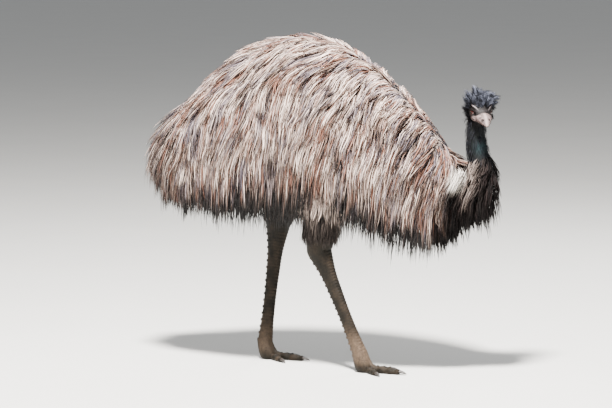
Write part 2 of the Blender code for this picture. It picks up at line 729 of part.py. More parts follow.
def make_thigh(side):
    """The feathered upper leg, from inside the trunk down to the hock. Returns the room it takes."""
    leg = LEGS[side]
    rings = [leg_ring(leg, s) for s in np.linspace(0.0, HOCK_SHARE, 8)[:-1]]
    rings.append(leg_ring(leg, HOCK_SHARE, shift=OVERRUN))
    thigh = loft(f"thigh_{side}", rings, "plumage")
    surface = surface_of(thigh)
    roots = []
    for number, row in enumerate(THIGH_ROWS):
        direction, fore, across = leg_axes(leg, row)
        for k in range(THIGH_ROW_LOCKS):
            angle = 2 * math.pi * (k + 0.5 * number) / THIGH_ROW_LOCKS
            hit = surface.ray_cast(leg_point(leg, row), fore * math.cos(angle) + across * math.sin(angle))[0]
            roots.append((hit, THIGH_LIFT))
    hair = (surface, roots, hanging(THIGH_PULL), THIGH_LOCK, SEEDS[f"thigh_{side}"], "plumage", NO_FRINGE)
    locks = coat(*hair)
    room = [grown_copy(thigh), *coat(*hair, swell=CLEARANCE)]
    boolean(thigh, locks, "UNION")
    direction = leg_axes(leg, HOCK_SHARE)[0]
    hock = leg_point(leg, HOCK_SHARE) - direction * GAP / 2
    boolean(thigh, [half_space(hock, direction, "plumage")], "DIFFERENCE")
    return room


def make_tarsus(side):
    """The bare shank, with a raised edge on each of its rows of scutes."""
    leg = LEGS[side]
    rings = []
    places = np.linspace(HOCK_SHARE, 1.0, SCUTES + 1)
    for k, (a, b) in enumerate(zip(places, places[1:])):
        rings.append(leg_ring(leg, a, shift=0.0 if k else GAP / 2))
        rings.append(leg_ring(leg, b - (b - a) * 0.18, rise=SCUTE_RISE * min(1.0, k / 3)))
    rings.append(leg_ring(leg, 1.0, shift=-GAP / 2))
    loft(f"tarsus_{side}", rings, "leg_scale")


def make_foot(side):
    """The ball of the foot with the roots of its toes, and the toes and claws themselves."""
    leg = LEGS[side]
    ankle = leg_point(leg, 1.0)
    ahead = Vector((math.cos(leg["heading"]), math.sin(leg["heading"]), 0.0))
    across = Z.cross(ahead)
    rings = [leg_ring(leg, 1.0, shift=GAP / 2)]
    for height, half_depth, half_width, share in FOOT:
        centre = Vector((ankle.x, ankle.y, height)) + ahead * FOOT_AHEAD * share
        rings.append(oval(centre, -across, ahead, half_width, half_depth, half_depth, LEG_SIDES))
    foot = loft(f"foot_{side}", rings, "leg_scale")
    ground = Vector((ankle.x, ankle.y, 0.0)) + ahead * FOOT_AHEAD
    stubs = []
    for name, length, spread, *sizes in TOES:
        way = leg["heading"] + math.radians(spread) * leg["inner"]
        root = TOE_ROOT / length
        stubs.append(toe_run("stub", ground, way, length, sizes, 0.05, root - GAP / length))
        toe_run(f"toe_{name}_{side}", ground, way, length, sizes, root, 1.0)
        claw(f"claw_{name}_{side}", ground, way, length, sizes)
    boolean(foot, stubs, "UNION")


def toe_ring(ground, way, length, sizes, share):
    """One cross-section of a toe, flat underneath, with its pads as swellings."""
    wide, high, wide_end, high_end = sizes
    along = Vector((math.cos(way), math.sin(way), 0.0))
    swell = 1.0 + TOE_SWELL * math.cos(2 * math.pi * TOE_PADS * share)
    half_width = (wide + (wide_end - wide) * share) * swell
    half_height = (high + (high_end - high) * share) * swell
    centre = ground + along * length * share + Z * half_height * SOLE_LEVEL
    ring = oval(centre, Z.cross(along), Z, half_width, half_height, half_height, TOE_SIDES)
    return [Vector((p.x, p.y, max(0.0, p.z))) for p in ring]


def toe_run(name, ground, way, length, sizes, start, end):
    count = max(3, round((end - start) * TOE_PADS * 3))
    rings = [toe_ring(ground, way, length, sizes, s) for s in np.linspace(start, end, count + 1)]
    return loft(name, rings, "leg_scale")


def claw(name, ground, way, length, sizes):
    """A blunt, slightly hooked nail on the end of a toe."""
    along = Vector((math.cos(way), math.sin(way), 0.0))
    root = ground + along * (length + GAP)
    rings = []
    for share, scale in CLAW_RINGS:
        height = sizes[3] * (1.15 - 0.45 * share ** 2) - CLAW_DROP * share
        centre = root + along * CLAW_LENGTH * share + Z * height
        rise, drop = sizes[3] * scale * 0.9, sizes[3] * scale * 0.7
        rings.append(oval(centre, Z.cross(along), Z, sizes[2] * scale, rise, drop, CLAW_SIDES))
    return loft(name, rings, "claw_horn")


def make_bird():
    clear_scene()
    room = []
    for side in LEGS:
        room += make_thigh(side)
        make_tarsus(side)
        make_foot(side)
    make_torso(room)
    make_tail()
    make_neck(make_head())
    for obj in bpy.data.objects:
        obj.data.transform(Matrix.Translation(-FLOOR_POINT))


make_bird()
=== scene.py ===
"""Looks of a life-size emu model: one skin, eyes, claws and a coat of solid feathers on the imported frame."""

import math

import bmesh
import bpy
import numpy as np
from mathutils import Matrix, Vector
from mathutils.bvhtree import BVHTree
from mathutils.kdtree import KDTree


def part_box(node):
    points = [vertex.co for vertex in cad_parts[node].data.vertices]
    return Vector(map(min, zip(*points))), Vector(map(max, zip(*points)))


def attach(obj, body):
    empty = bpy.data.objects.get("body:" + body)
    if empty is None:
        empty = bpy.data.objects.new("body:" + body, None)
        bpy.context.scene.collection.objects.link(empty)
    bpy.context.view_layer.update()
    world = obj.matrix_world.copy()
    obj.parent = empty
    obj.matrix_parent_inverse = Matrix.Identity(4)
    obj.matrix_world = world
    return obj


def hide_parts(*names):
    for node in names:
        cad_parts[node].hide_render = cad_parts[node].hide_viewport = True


bl_info = {
    "name": "Emu model looks",
    "version": (1, 0, 0),
    "blender": (4, 5, 0),
    "location": "3D View > Sidebar > Emu",
    "description": "Skin, eyes, claws, feathers and studio for a life-size emu model",
    "category": "Object",
}

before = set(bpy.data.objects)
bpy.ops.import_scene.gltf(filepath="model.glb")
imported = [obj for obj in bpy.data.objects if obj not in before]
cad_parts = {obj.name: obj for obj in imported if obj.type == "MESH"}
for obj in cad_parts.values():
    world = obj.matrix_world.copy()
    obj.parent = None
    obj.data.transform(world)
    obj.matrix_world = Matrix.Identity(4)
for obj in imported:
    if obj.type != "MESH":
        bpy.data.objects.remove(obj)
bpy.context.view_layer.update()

X, Y, Z = Vector((1, 0, 0)), Vector((0, 1, 0)), Vector((0, 0, 1))

# Trunk, with the same core as the solids: place along the body, heights of back and belly, half width.
TRUNK = (
    (-0.540, 0.735, 0.610, 0.042),
    (-0.485, 0.810, 0.570, 0.092),
    (-0.400, 0.892, 0.545, 0.136),
    (-0.300, 0.990, 0.545, 0.170),
    (-0.180, 1.062, 0.550, 0.190),
    (-0.050, 1.088, 0.555, 0.200),
    (0.080, 1.072, 0.550, 0.197),
    (0.180, 1.017, 0.530, 0.187),
    (0.290, 0.926, 0.500, 0.165),
    (0.380, 0.834, 0.475, 0.135),
    (0.450, 0.750, 0.485, 0.100),
)
WAIST = 0.42  # share of the trunk's height at which it is widest
# The fringe: how low the tips of the feathers hang, place along the body and height over the floor.
FRINGE = (
    (-0.620, 0.600), (-0.560, 0.570), (-0.475, 0.536), (-0.400, 0.508), (-0.316, 0.490), (-0.076, 0.478),
    (0.027, 0.495), (0.180, 0.462), (0.250, 0.422), (0.314, 0.383), (0.385, 0.380), (0.450, 0.452),
    (0.513, 0.480), (0.589, 0.500), (0.630, 0.505), (0.660, 0.540),
)
# Neck, from the breast round the low bend up to the skull: centre, climb in degrees, half width, half height.
NECK = (
    (0.450, 0.000, 0.612, 0.0, 0.1000, 0.1290),
    (0.503, -0.001, 0.588, 14.0, 0.0780, 0.0990),
    (0.550, -0.003, 0.592, 40.0, 0.0600, 0.0700),
    (0.572, -0.005, 0.632, 66.0, 0.0500, 0.0550),
    (0.574, -0.006, 0.680, 86.0, 0.0440, 0.0460),
    (0.563, -0.006, 0.725, 96.0, 0.0395, 0.0400),
    (0.557, -0.006, 0.780, 94.0, 0.0350, 0.0360),
    (0.558, -0.004, 0.845, 90.0, 0.0320, 0.0330),
)
NECK_PARTING = 0.60  # share of the neck's length where the ruff ends
# Head, in its own frame: +X to the bill's tip, +Y to its left, +Z up, origin midway between the eyes.
EYES_MIDPOINT = Vector((0.583, -0.036, 0.858))
HEAD_TURN = math.radians(-61.0)
HEAD_NOD = math.radians(13.0)
# Place along the head, height of the crown or culmen, depth of the throat, half width, roundness of the top.
HEAD = (
    (-0.066, 0.012, -0.016, 0.012, 2.0),
    (-0.058, 0.023, -0.028, 0.024, 2.0),
    (-0.040, 0.033, -0.039, 0.0335, 2.1),
    (-0.018, 0.037, -0.043, 0.0365, 2.2),
    (0.004, 0.032, -0.041, 0.0345, 2.1),
    (0.022, 0.022, -0.0365, 0.0295, 2.0),
    (0.036, 0.010, -0.0325, 0.0255, 1.8),
    (0.050, 0.0035, -0.0300, 0.0225, 1.7),
    (0.066, 0.0010, -0.0285, 0.0182, 1.6),
    (0.080, -0.0050, -0.0275, 0.0128, 1.6),
    (0.091, -0.0120, -0.0265, 0.0078, 1.7),
    (0.098, -0.0190, -0.0250, 0.0032, 2.0),
)
SKULL_WAIST = 0.55  # share of the head's height at which it is widest
GAPE = Vector((-0.002, 0.0, -0.0180))
BILL_TIP = Vector((0.100, 0.0, -0.0235))
EYE_RADIUS = 0.0125
EYE_INSET = 0.0235
EYE_LEVEL = -0.0035
EYE_TOE_IN = math.radians(22.0)
LID_RADIUS = 0.0128
LID_THICKNESS = 0.0024
LID_OUT = 0.0098  # how far the lid lies out from the middle of the eye
# The hollow in front of each eye: place along and across the head, radii and turn.
ORBIT = (0.0195, 0.0335)
ORBIT_RADII = (0.0180, 0.0095, 0.0100)
ORBIT_TURN = math.radians(20.0)
NOSTRIL = Vector((0.075, 0.0112, -0.0095))
EAR = Vector((-0.034, 0.0340, -0.0160))
# The painted highlight along the top of the ridge over the eye: its height by the distance from the head's
# middle.
BROW_LINE = ((0.010, 0.016, 0.024, 0.034), (0.005, 0.0110, 0.0175, 0.0215))
# How far the horn of the bill reaches up from the mouth, by the place along the head.
BILL_EDGE = ((-0.008, 0.004, 0.020, 0.034, 0.044, 0.052), (0.0, 0.0050, 0.0085, 0.0120, 0.0190, 0.0400))

# Legs: hip end, knee, hock and ankle of each, and the way the foot points, anticlockwise seen from above.
LEGS = {
    "right": {
        "line": (
            (0.095, -0.115, 0.760), (0.075, -0.118, 0.560), (0.057, -0.100, 0.395), (0.192, -0.078, 0.055)),
        "heading": math.radians(-6.0),
        "inner": 1,
    },
    "left": {
        "line": (
            (-0.090, 0.115, 0.760), (-0.110, 0.112, 0.600), (-0.154, 0.085, 0.455), (-0.195, 0.066, 0.055)),
        "heading": math.radians(-4.0),
        "inner": -1,
    },
}
# Leg: share along it, half depth fore and aft, half width.
LEG = (
    (0.00, 0.080, 0.056),
    (0.18, 0.076, 0.054),
    (0.33, 0.055, 0.044),
    (0.44, 0.042, 0.036),
    (0.50, 0.0325, 0.0280),
    (0.56, 0.0255, 0.0230),
    (0.66, 0.0215, 0.0190),
    (0.80, 0.0190, 0.0170),
    (0.92, 0.0205, 0.0195),
    (1.00, 0.0240, 0.0240),
)
KNEE_SHARE = 0.23
HOCK_SHARE = 0.44
# A plate of the shank: place along it, and share of the full rise that it has there.
PLATE_PROFILE = ((0.06, 0.0), (0.22, 0.75), (0.60, 1.0), (0.90, 0.85))
BACK_PLATES = (0.7, 2.1)  # rise of the plates at the back of the shank, in turn, as shares of one in front
# Toes: name, length to the claw, spread from the heading, half width and height at the root and at the claw.
TOES = (
    ("middle", 0.122, 0.0, 0.0150, 0.0150, 0.0110, 0.0085),
    ("inner", 0.088, 38.0, 0.0115, 0.0125, 0.0090, 0.0075),
    ("outer", 0.084, -40.0, 0.0115, 0.0125, 0.0090, 0.0075),
)
FOOT_AHEAD = 0.016
# Foot: height over the floor, half depth and half width of its cross-sections, and how far ahead each lies.
FOOT = (
    (0.038, 0.0290, 0.0270, 0.35),
    (0.022, 0.0330, 0.0300, 0.80),
    (0.008, 0.0310, 0.0285, 1.00),
    (0.0015, 0.0250, 0.0240, 1.00),
)
SOLE_LEVEL = 0.82  # height of a toe's middle line over the floor, in half heights
TOE_PLATE = 0.0065
TOE_PLATE_PROFILE = (0.0, 0.9, 1.0, 0.8)
TOE_PLATE_RISE = 0.0011
TOE_PADS = 4
CLAW_LENGTH = 0.026
CLAW_DROP = 0.0022
CLAW_GAP = 0.0003  # between a toe and its claw

# The camera in the bird's own measures: the point it looks at, its azimuth, distance, height and lens.
CAMERA_TARGET = Vector((-0.025, 0.0, 0.533))
CAMERA_AZIMUTH = math.radians(20.0)
CAMERA_DISTANCE = 9.0
CAMERA_HEIGHT = 1.5
CAMERA_LENS = 160.94

# Feathers: stations along one from root to tip, and its width and depth at each but the last (a point), as
# shares of the full ones.
TUFT_STATIONS = np.array((0.0, 0.28, 0.56, 0.82, 1.0))
TUFT_WIDTHS = np.array((0.55, 1.0, 0.92, 0.62))
TUFT_ROOT_SINK = 0.003  # how far a feather's root lies under the skin
TUFT_ROLL = 0.45  # spread of the angles, in radians, by which feathers turn about themselves
# Width and depth of the feathers and hairs of each coat but the trunk's, whose width is set in the panel.
VANE_DEPTH = 0.0009
RUFF_FEATHER = (0.0028, 0.0009)
THIGH_FEATHER = (0.0030, 0.0008)
NECK_HAIR = (0.0012, 0.0005)
HEAD_HAIR = (0.0011, 0.0005)
GUIDE_STEPS = 8  # steps of the path that a lock of feathers follows
FEATHERS_IN_WISP = 8
PARTING = 0.035  # half width of the strip of the back over which the coat turns from one side to the other
BAKE_PATCH = 0.003  # size of a feather's patch on the bake's map, as a share of the map
# The dark hem is partly the feathers' own dark tips and partly painted shade low under the body
HEM = 0.045  # how far over the fringe the tips of the feathers are dark
# The pale patch beside the root of the neck: its middle and how far it spreads.
PATCH = Vector((0.517, 0.0, 0.640))
PATCH_SIZE = Vector((0.021, 0.0, 0.040))

# Studio lights: name, place, size, power in watts and colour.
LIGHTS = (
    ("key", (0.4, -2.5, 5.5), 0.9, 2700.0, (1.0, 0.97, 0.94)),
    ("fill", (4.0, -2.5, 2.2), 2.5, 45.0, (0.95, 0.97, 1.0)),
    ("rim", (0.5, 3.4, 3.6), 2.0, 150.0, (1.0, 1.0, 1.0)),
)
LIT_POINT = Vector((0.0, 0.0, 0.6))
SKY_COLOUR = (0.93, 0.96, 1.0, 1.0)
SKY_STRENGTH = 0.42
FLOOR_RADIUS = 60.0


def to_linear(code):
    """The linear colour of an sRGB hex value."""
    parts = [int(code[k:k + 2], 16) / 255 for k in (1, 3, 5)]
    return tuple(c / 12.92 if c <= 0.04045 else ((c + 0.055) / 1.055) ** 2.4 for c in parts)


def tint(name, code, description):
    """A colour that a user may change, from its sRGB hex value."""
    return bpy.props.FloatVectorProperty(
        name=name, description=description, subtype="COLOR", min=0.0, max=1.0, default=to_linear(code))


def length(name, metres, description):
    """A length that a user may change."""
    return bpy.props.FloatProperty(name=name, description=description, unit="LENGTH", default=metres, min=0.0)


def number(name, count, description, least=100):
    """A count that a user may change."""
    return bpy.props.IntProperty(name=name, description=description, default=count, min=least)


class EmuForm(bpy.types.PropertyGroup):
    """Sizes of the skin, eyes and claws."""
    trunk_depth: length("Trunk skin depth", 0.012, "How far the skin lies under the core of the trunk")
    neck_depth: length("Neck skin depth", 0.006, "How far the skin lies under the core of the neck")
    thigh_depth: length("Thigh skin depth", 0.006, "How far the skin lies under the core of the thighs")
    head_fineness: length("Head fineness", 0.0011, "Size of the faces of the head's skin")
    mouth_gap: length("Mouth gap", 0.0012, "Width of the line of the mouth")
    scute_rise: length("Scute rise", 0.0024, "How far the plates of the shank stand out")
    scutes: number("Scutes", 36, "Rows of plates down the shank", 4)


class EmuCoat(bpy.types.PropertyGroup):
    """Sizes of the feathers."""
    trunk_feathers: number("Trunk feathers", 6150, "Feathers in each of the trunk's six pieces")
    rump_feathers: number("Rump feathers", 6000, "Feathers of the hanging rump")
    ruff_feathers: number("Ruff feathers", 6800, "Feathers of the ruff round the lower neck")
    neck_feathers: number("Neck feathers", 8500, "Hair-like feathers of the upper neck")
    head_feathers: number("Head feathers", 6400, "Hair-like feathers of the head")
    thigh_feathers: number("Thigh feathers", 1700, "Feathers of each thigh")
    feather_length: length("Feather length", 0.135, "Length of a feather of the flank")
    feather_width: length("Feather width", 0.0027, "Width of a feather of the flank")
    lock_spacing: length("Lock spacing", 0.023, "Distance between the locks into which feathers gather")
    lift: length("Lift", 0.050, "How far the tips of the flank's feathers stand off the skin")


class EmuColours(bpy.types.PropertyGroup):
    """Colours of the bird and its stage."""
    feather_pale: tint("Pale feather", "#F8E0D2", "Pale middle of the feathers")
    feather_brown: tint("Brown feather", "#886E60", "Body colour of the feathers")
    # On the roots this dark colour stands for painted shade under the feathers above
    feather_dark: tint("Dark feather", "#2A2120", "Tips and roots of the feathers")
    feather_grey: tint("Grey feather", "#7C737C", "Cool grey ones among the feathers")
    feather_rust: tint("Rusty feather", "#94634F", "Reddish ones among the feathers")
    ruff_black: tint("Ruff black", "#0D0C0C", "Hair-like feathers of the ruff")
    neck_pale: tint("Pale neck patch", "#E4DCD2", "Patch at the root of the neck")
    hair: tint("Head hair", "#08080B", "Hair-like feathers of head and neck")
    # Painted sheen: a lighter colour mixed into some hairs of head and neck as a painted highlight
    hair_sheen: tint("Head hair sheen", "#8A8FA2", "Lighter ones among the hair-like feathers of the head")
    under_skin: tint("Covered skin", "#171413", "Skin under the coat")
    # Near black: the neck's own dark skin, darkened further to stand in for the shade under the bill
    neck_skin: tint("Neck skin", "#090B0B", "Skin of the upper neck")
    neck_teal: tint("Neck teal", "#1C3034", "Bluish bare patch in front of the upper neck")
    face_skin: tint("Face skin", "#0E0B0B", "Bare skin round the eyes")
    # The pale line over the eye is a painted highlight along the top of the brow ridge; the same colour makes
    # faint streaks on the face
    brow_highlight_and_streaks: tint("Brow skin", "#B3A6A8", "Pale ridge over the eye")
    bill: tint("Bill", "#8E7C78", "Horn of the bill")
    # Dark bill: partly the sides' own grey-brown, and painted shade on the sides and along the mouth's line
    bill_dark_and_shade: tint("Dark bill", "#33292A", "Sides of the bill and line of the mouth")
    leg_dark: tint("Leg", "#16120B", "Scales of the legs")
    # Paler leg scales: worn ones at random, and a painted highlight low on the shank and over the toes
    leg_worn_and_lit: tint("Leg, worn", "#6A5848", "Worn scutes low on the shank and over the toes")
    claw: tint("Claw", "#2B2623", "Horn of the claws")
    iris: tint("Iris", "#330B06", "Iris of the eyes")
    pupil: tint("Pupil", "#0D0A0A", "Pupil of the eyes")
    eye_rim: tint("Eye rim", "#271D1A", "Border of the iris")
    floor: tint("Floor", "#CECDC9", "Floor of the studio")


def form():
    """The sizes of skin, eyes and claws that are set in the panel."""
    return bpy.context.scene.emu_form


def coat_sizes():
    """The sizes of the feathers that are set in the panel."""
    return bpy.context.scene.emu_coat


def colour(name):
    """A colour that is set in the panel."""
    return np.array(getattr(bpy.context.scene.emu_colours, name))


def smooth(stations, place):
    """The values at a place on smooth curves through the stations, whose first value is their own place."""
    table = np.asarray(stations, float)
    x, values = table[:, 0], table[:, 1:]
    slopes = np.gradient(values, x, axis=0)
    k = int(np.clip(np.searchsorted(x, place) - 1, 0, len(x) - 2))
    span = x[k + 1] - x[k]
    t = float(np.clip((place - x[k]) / span, 0.0, 1.0))
    near = (1 + 2 * t) * (1 - t) ** 2 * values[k] + t * (1 - t) ** 2 * span * slopes[k]
    far = t * t * (3 - 2 * t) * values[k + 1] + t * t * (t - 1) * span * slopes[k + 1]
    return near + far


def head_place():
    """From the head's own frame to the bird's."""
    turn = Matrix.Rotation(HEAD_TURN, 4, "Z") @ Matrix.Rotation(HEAD_NOD, 4, "Y")
    return Matrix.Translation(EYES_MIDPOINT) @ turn


def find_shift():
    """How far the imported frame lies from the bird's own measures, read from the left eye."""
    low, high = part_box("eye_left")
    middle = (Vector(low) + Vector(high)) / 2
    return middle - head_place() @ Vector((0.0, EYE_INSET, EYE_LEVEL))


SHIFT = find_shift()


def oval(centre, across, up, half_width, rise, drop, sides, top_power=2.0, low_power=2.0):
    """A ring of points: an oval with its own height above and below the centre, squarer above power 2."""
    points = []
    for k in range(sides):
        angle = 2 * math.pi * (k + 0.5) / sides
        s, c = math.sin(angle), math.cos(angle)
        power = top_power if c > 0 else low_power
        wide = half_width * math.copysign(abs(s) ** (2 / power), s)
        high = (rise if c > 0 else drop) * math.copysign(abs(c) ** (2 / power), c)
        points.append(centre + across * wide + up * high)
    return points


def linked(name, mesh):
    """An object of that name with the mesh, shaded smooth and put into the scene."""
    mesh.shade_smooth()
    obj = bpy.data.objects.new(name, mesh)
    bpy.context.scene.collection.objects.link(obj)
    return obj


def new_object(name, bm):
    """An object of that name from the bmesh, with its faces pointing out."""
    bmesh.ops.recalc_face_normals(bm, faces=bm.faces)
    mesh = bpy.data.meshes.new(name)
    bm.to_mesh(mesh)
    bm.free()
    return linked(name, mesh)


def swept(name, rings):
    """A closed tube through rings of equally many points, made from a grid that is bent round them."""
    spans, sides = len(rings) - 1, len(rings[0])
    bm = bmesh.new()
    grid = bmesh.ops.create_grid(bm, x_segments=spans, y_segments=sides, size=0.5)["verts"]
    for vert in grid:
        i = round((vert.co.x + 0.5) * spans)
        j = round((vert.co.y + 0.5) * sides) % sides
        vert.co = rings[i][j]
    bmesh.ops.remove_doubles(bm, verts=bm.verts, dist=1e-6)
    bmesh.ops.holes_fill(bm, edges=[e for e in bm.edges if e.is_boundary], sides=0)
    return new_object(name, bm)


def ball(name, centre, radii, turn=None, fineness=3):
    """A closed ball stretched to three radii."""
    bm = bmesh.new()
    bmesh.ops.create_icosphere(bm, subdivisions=fineness, radius=1.0)
    matrix = Matrix.Translation(centre) @ (turn or Matrix.Identity(4)) @ Matrix.Diagonal((*radii, 1.0))
    bmesh.ops.transform(bm, matrix=matrix, verts=bm.verts)
    return new_object(name, bm)


def apply_modifiers(obj):
    """Bakes the object's modifiers into its mesh."""
    bpy.context.view_layer.update()
    graph = bpy.context.evaluated_depsgraph_get()
    made = bpy.data.meshes.new_from_object(obj.evaluated_get(graph))
    obj.modifiers.clear()
    obj.data = made


def boolean(target, others, operation):
    """Joins the other closed objects to the target or cuts them from it, and removes them."""
    group = bpy.data.collections.new("joining")
    bpy.context.scene.collection.children.link(group)
    for other in others:
        bpy.context.scene.collection.objects.unlink(other)
        group.objects.link(other)
    join = target.modifiers.new("join", "BOOLEAN")
    join.operation = operation
    join.operand_type = "COLLECTION"
    join.collection = group
    join.solver = "MANIFOLD"
    apply_modifiers(target)
    for other in others:
        bpy.data.objects.remove(other)
    bpy.data.collections.remove(group)


def trunk_ring(x, depth, sides=48):
    """The trunk's cross-section at x, a depth under the core."""
    back, belly, half_width = smooth(TRUNK, x)
    widest = belly + WAIST * (back - belly)
    rise, drop = back - widest - depth, widest - belly - depth
    return oval(Vector((x, 0.0, widest)), Y, Z, half_width - depth, rise, drop, sides, 2.0, 2.4)


def neck_frame(share):
    """Centre of the neck at a share of its length, the way up from it, and its half sizes."""
    stations = [(k / (len(NECK) - 1), *row) for k, row in enumerate(NECK)]
    x, y, z, climb, half_width, half_height = smooth(stations, share)
    along = Vector((math.cos(math.radians(climb)), 0.0, math.sin(math.radians(climb))))
    return Vector((x, y, z)), along.cross(Y), half_width, half_height


def neck_ring(share, depth, sides=48):
    """The neck's cross-section at a share of its length, a depth under the core."""
    centre, up, half_width, half_height = neck_frame(share)
    return oval(centre, Y, up, half_width - depth, half_height - depth, half_height - depth, sides)


def head_ring(x, sides=44):
    """The cross-section of skull and bill at x in the head's own frame."""
    crown, throat, half_width, power = smooth(HEAD, x)
    widest = throat + SKULL_WAIST * (crown - throat)
    rise, drop = crown - widest, widest - throat
    return oval(Vector((x, 0.0, widest)), Y, Z, half_width, rise, drop, sides, power, 2.2)


def each_side(point):
    """The point and its mirror image, with the side's name and sign."""
    return [("left", 1, Vector(point)), ("right", -1, Vector((point[0], -point[1], point[2])))]


def leg_point(leg, share):
    """A point of the leg's line, which is straight between hip end, knee, hock and ankle."""
    places = (0.0, KNEE_SHARE, HOCK_SHARE, 1.0)
    share = min(1.0, max(0.0, share))
    k = max(i for i in range(len(places) - 1) if share >= places[i])
    t = (share - places[k]) / (places[k + 1] - places[k])
    return Vector(leg["line"][k]).lerp(Vector(leg["line"][k + 1]), t)


def leg_axes(leg, share):
    """The ways forward and across the leg at a share of its length."""
    direction = (leg_point(leg, share + 0.01) - leg_point(leg, share - 0.01)).normalized()
    fore = ahead_of(leg)
    fore = (fore - direction * fore.dot(direction)).normalized()
    return fore, direction.cross(fore).normalized()


def leg_ring(leg, share, depth=0.0, front=0.0, back=0.0, sides=36):
    """The leg's cross-section, a depth under its core, with plates that rise in front and at the back."""
    fore, across = leg_axes(leg, share)
    half_depth, half_width = smooth(LEG, share)
    rise, drop = half_depth - depth + front, half_depth - depth + back
    return oval(leg_point(leg, share), across, fore, half_width - depth, rise, drop, sides)


def body_core():
    """Tail, trunk and neck as one tube, a little under the core of the solids."""
    sizes = form()
    places = np.linspace(TRUNK[0][0] + 0.008, TRUNK[-1][0] - 0.012, 52)
    trunk = [trunk_ring(x, sizes.trunk_depth) for x in places]
    depths = np.linspace(sizes.trunk_depth, sizes.neck_depth, 48)
    neck = [neck_ring(s, d) for s, d in zip(np.linspace(0.0, 0.97, 48), depths)]
    return swept("body", trunk + neck)


def ahead_of(leg):
    """The way the foot points."""
    return Vector((math.cos(leg["heading"]), math.sin(leg["heading"]), 0.0))


def leg_skin(side):
    """Thigh, hock and shank down into the foot. Plates stand out on the shank, most of all at its back."""
    leg = LEGS[side]
    sizes = form()
    shares = np.linspace(0.0, 0.42, 14)
    rings = [leg_ring(leg, s, depth=sizes.thigh_depth * (1.0 - s / HOCK_SHARE)) for s in shares]
    places = np.linspace(HOCK_SHARE, 0.995, sizes.scutes + 1)
    for k, (a, b) in enumerate(zip(places, places[1:])):
        fade = min(1.0, (k + 1) / 4)
        for share, stand in PLATE_PROFILE:
            front = sizes.scute_rise * stand * fade
            back = sizes.scute_rise * BACK_PLATES[k % 2] * stand * fade
            rings.append(leg_ring(leg, a + (b - a) * share, front=front, back=back))
    ankle, ahead = leg_point(leg, 1.0), ahead_of(leg)
    for height, half_depth, half_width, share in FOOT:
        centre = Vector((ankle.x, ankle.y, height)) + ahead * FOOT_AHEAD * share
        rings.append(oval(centre, -Z.cross(ahead), ahead, half_width, half_depth, half_depth, 36))
    return swept(f"leg_{side}", rings)


def toe_frame(side, toe):
    """The toe's start on the floor, its direction and its sizes."""
    leg = LEGS[side]
    _, reach, spread, *sizes = toe
    ankle = leg_point(leg, 1.0)
    way = leg["heading"] + math.radians(spread) * leg["inner"]
    ground = Vector((ankle.x, ankle.y, 0.0)) + ahead_of(leg) * FOOT_AHEAD
    return ground, Vector((math.cos(way), math.sin(way), 0.0)), reach, sizes


def toe_skin(side, toe):
    """A toe with round pads underneath and plates across its top."""
    ground, along, reach, (wide, high, wide_end, high_end) = toe_frame(side, toe)
    across = Z.cross(along)
    rings = []
    steps = round(reach / TOE_PLATE) * len(TOE_PLATE_PROFILE)
    for k in range(steps + 1):
        share = 0.05 + 0.95 * k / steps
        pad = 1.0 + 0.10 * math.cos(2 * math.pi * TOE_PADS * share)
        plate = TOE_PLATE_PROFILE[k % len(TOE_PLATE_PROFILE)] * TOE_PLATE_RISE
        end = min(1.0, (1.0 - share) / 0.05 + 0.72)
        half_width = (wide + (wide_end - wide) * share) * pad * end
        half_height = (high + (high_end - high) * share) * pad
        centre = ground + along * reach * share + Z * half_height * SOLE_LEVEL
        ring = oval(centre, across, Z, half_width, half_height * end + plate, half_height, 28, 2.0, 2.3)
        rings.append([Vector((p.x, p.y, max(0.0, p.z))) for p in ring])
    return swept("toe", rings)


def lid(centre, sign):
    """A rim round the eye, spun from a small round section and flattened a little from above."""
    bm = bmesh.new()
    section = bmesh.ops.create_circle(bm, segments=10, radius=LID_THICKNESS)["verts"]
    bmesh.ops.translate(bm, verts=section, vec=X * LID_RADIUS)
    bmesh.ops.spin(bm, geom=bm.verts[:] + bm.edges[:], axis=Y, cent=(0, 0, 0), angle=2 * math.pi, steps=40,
                   use_merge=True)
    bmesh.ops.remove_doubles(bm, verts=bm.verts, dist=1e-6)
    bmesh.ops.scale(bm, vec=(1.0, 1.0, 0.80), verts=bm.verts)
    turn = Matrix.Rotation(-sign * EYE_TOE_IN, 4, "Z")
    bmesh.ops.transform(bm, matrix=Matrix.Translation(centre) @ turn, verts=bm.verts)
    return new_object("lid", bm)


def mouth_blade():
    """A thin blade that parts the bill along the mouth, back to the gape."""
    way = BILL_TIP - GAPE
    bm = bmesh.new()
    bmesh.ops.create_cube(bm, size=1.0)
    size = Matrix.Diagonal((way.length + 0.02, 0.12, form().mouth_gap, 1.0))
    turn = Matrix.Rotation(-math.atan2(way.z, way.x), 4, "Y")
    middle = GAPE + way.normalized() * (way.length + 0.02) / 2
    bmesh.ops.transform(bm, matrix=Matrix.Translation(middle) @ turn @ size, verts=bm.verts)
    return new_object("mouth", bm)


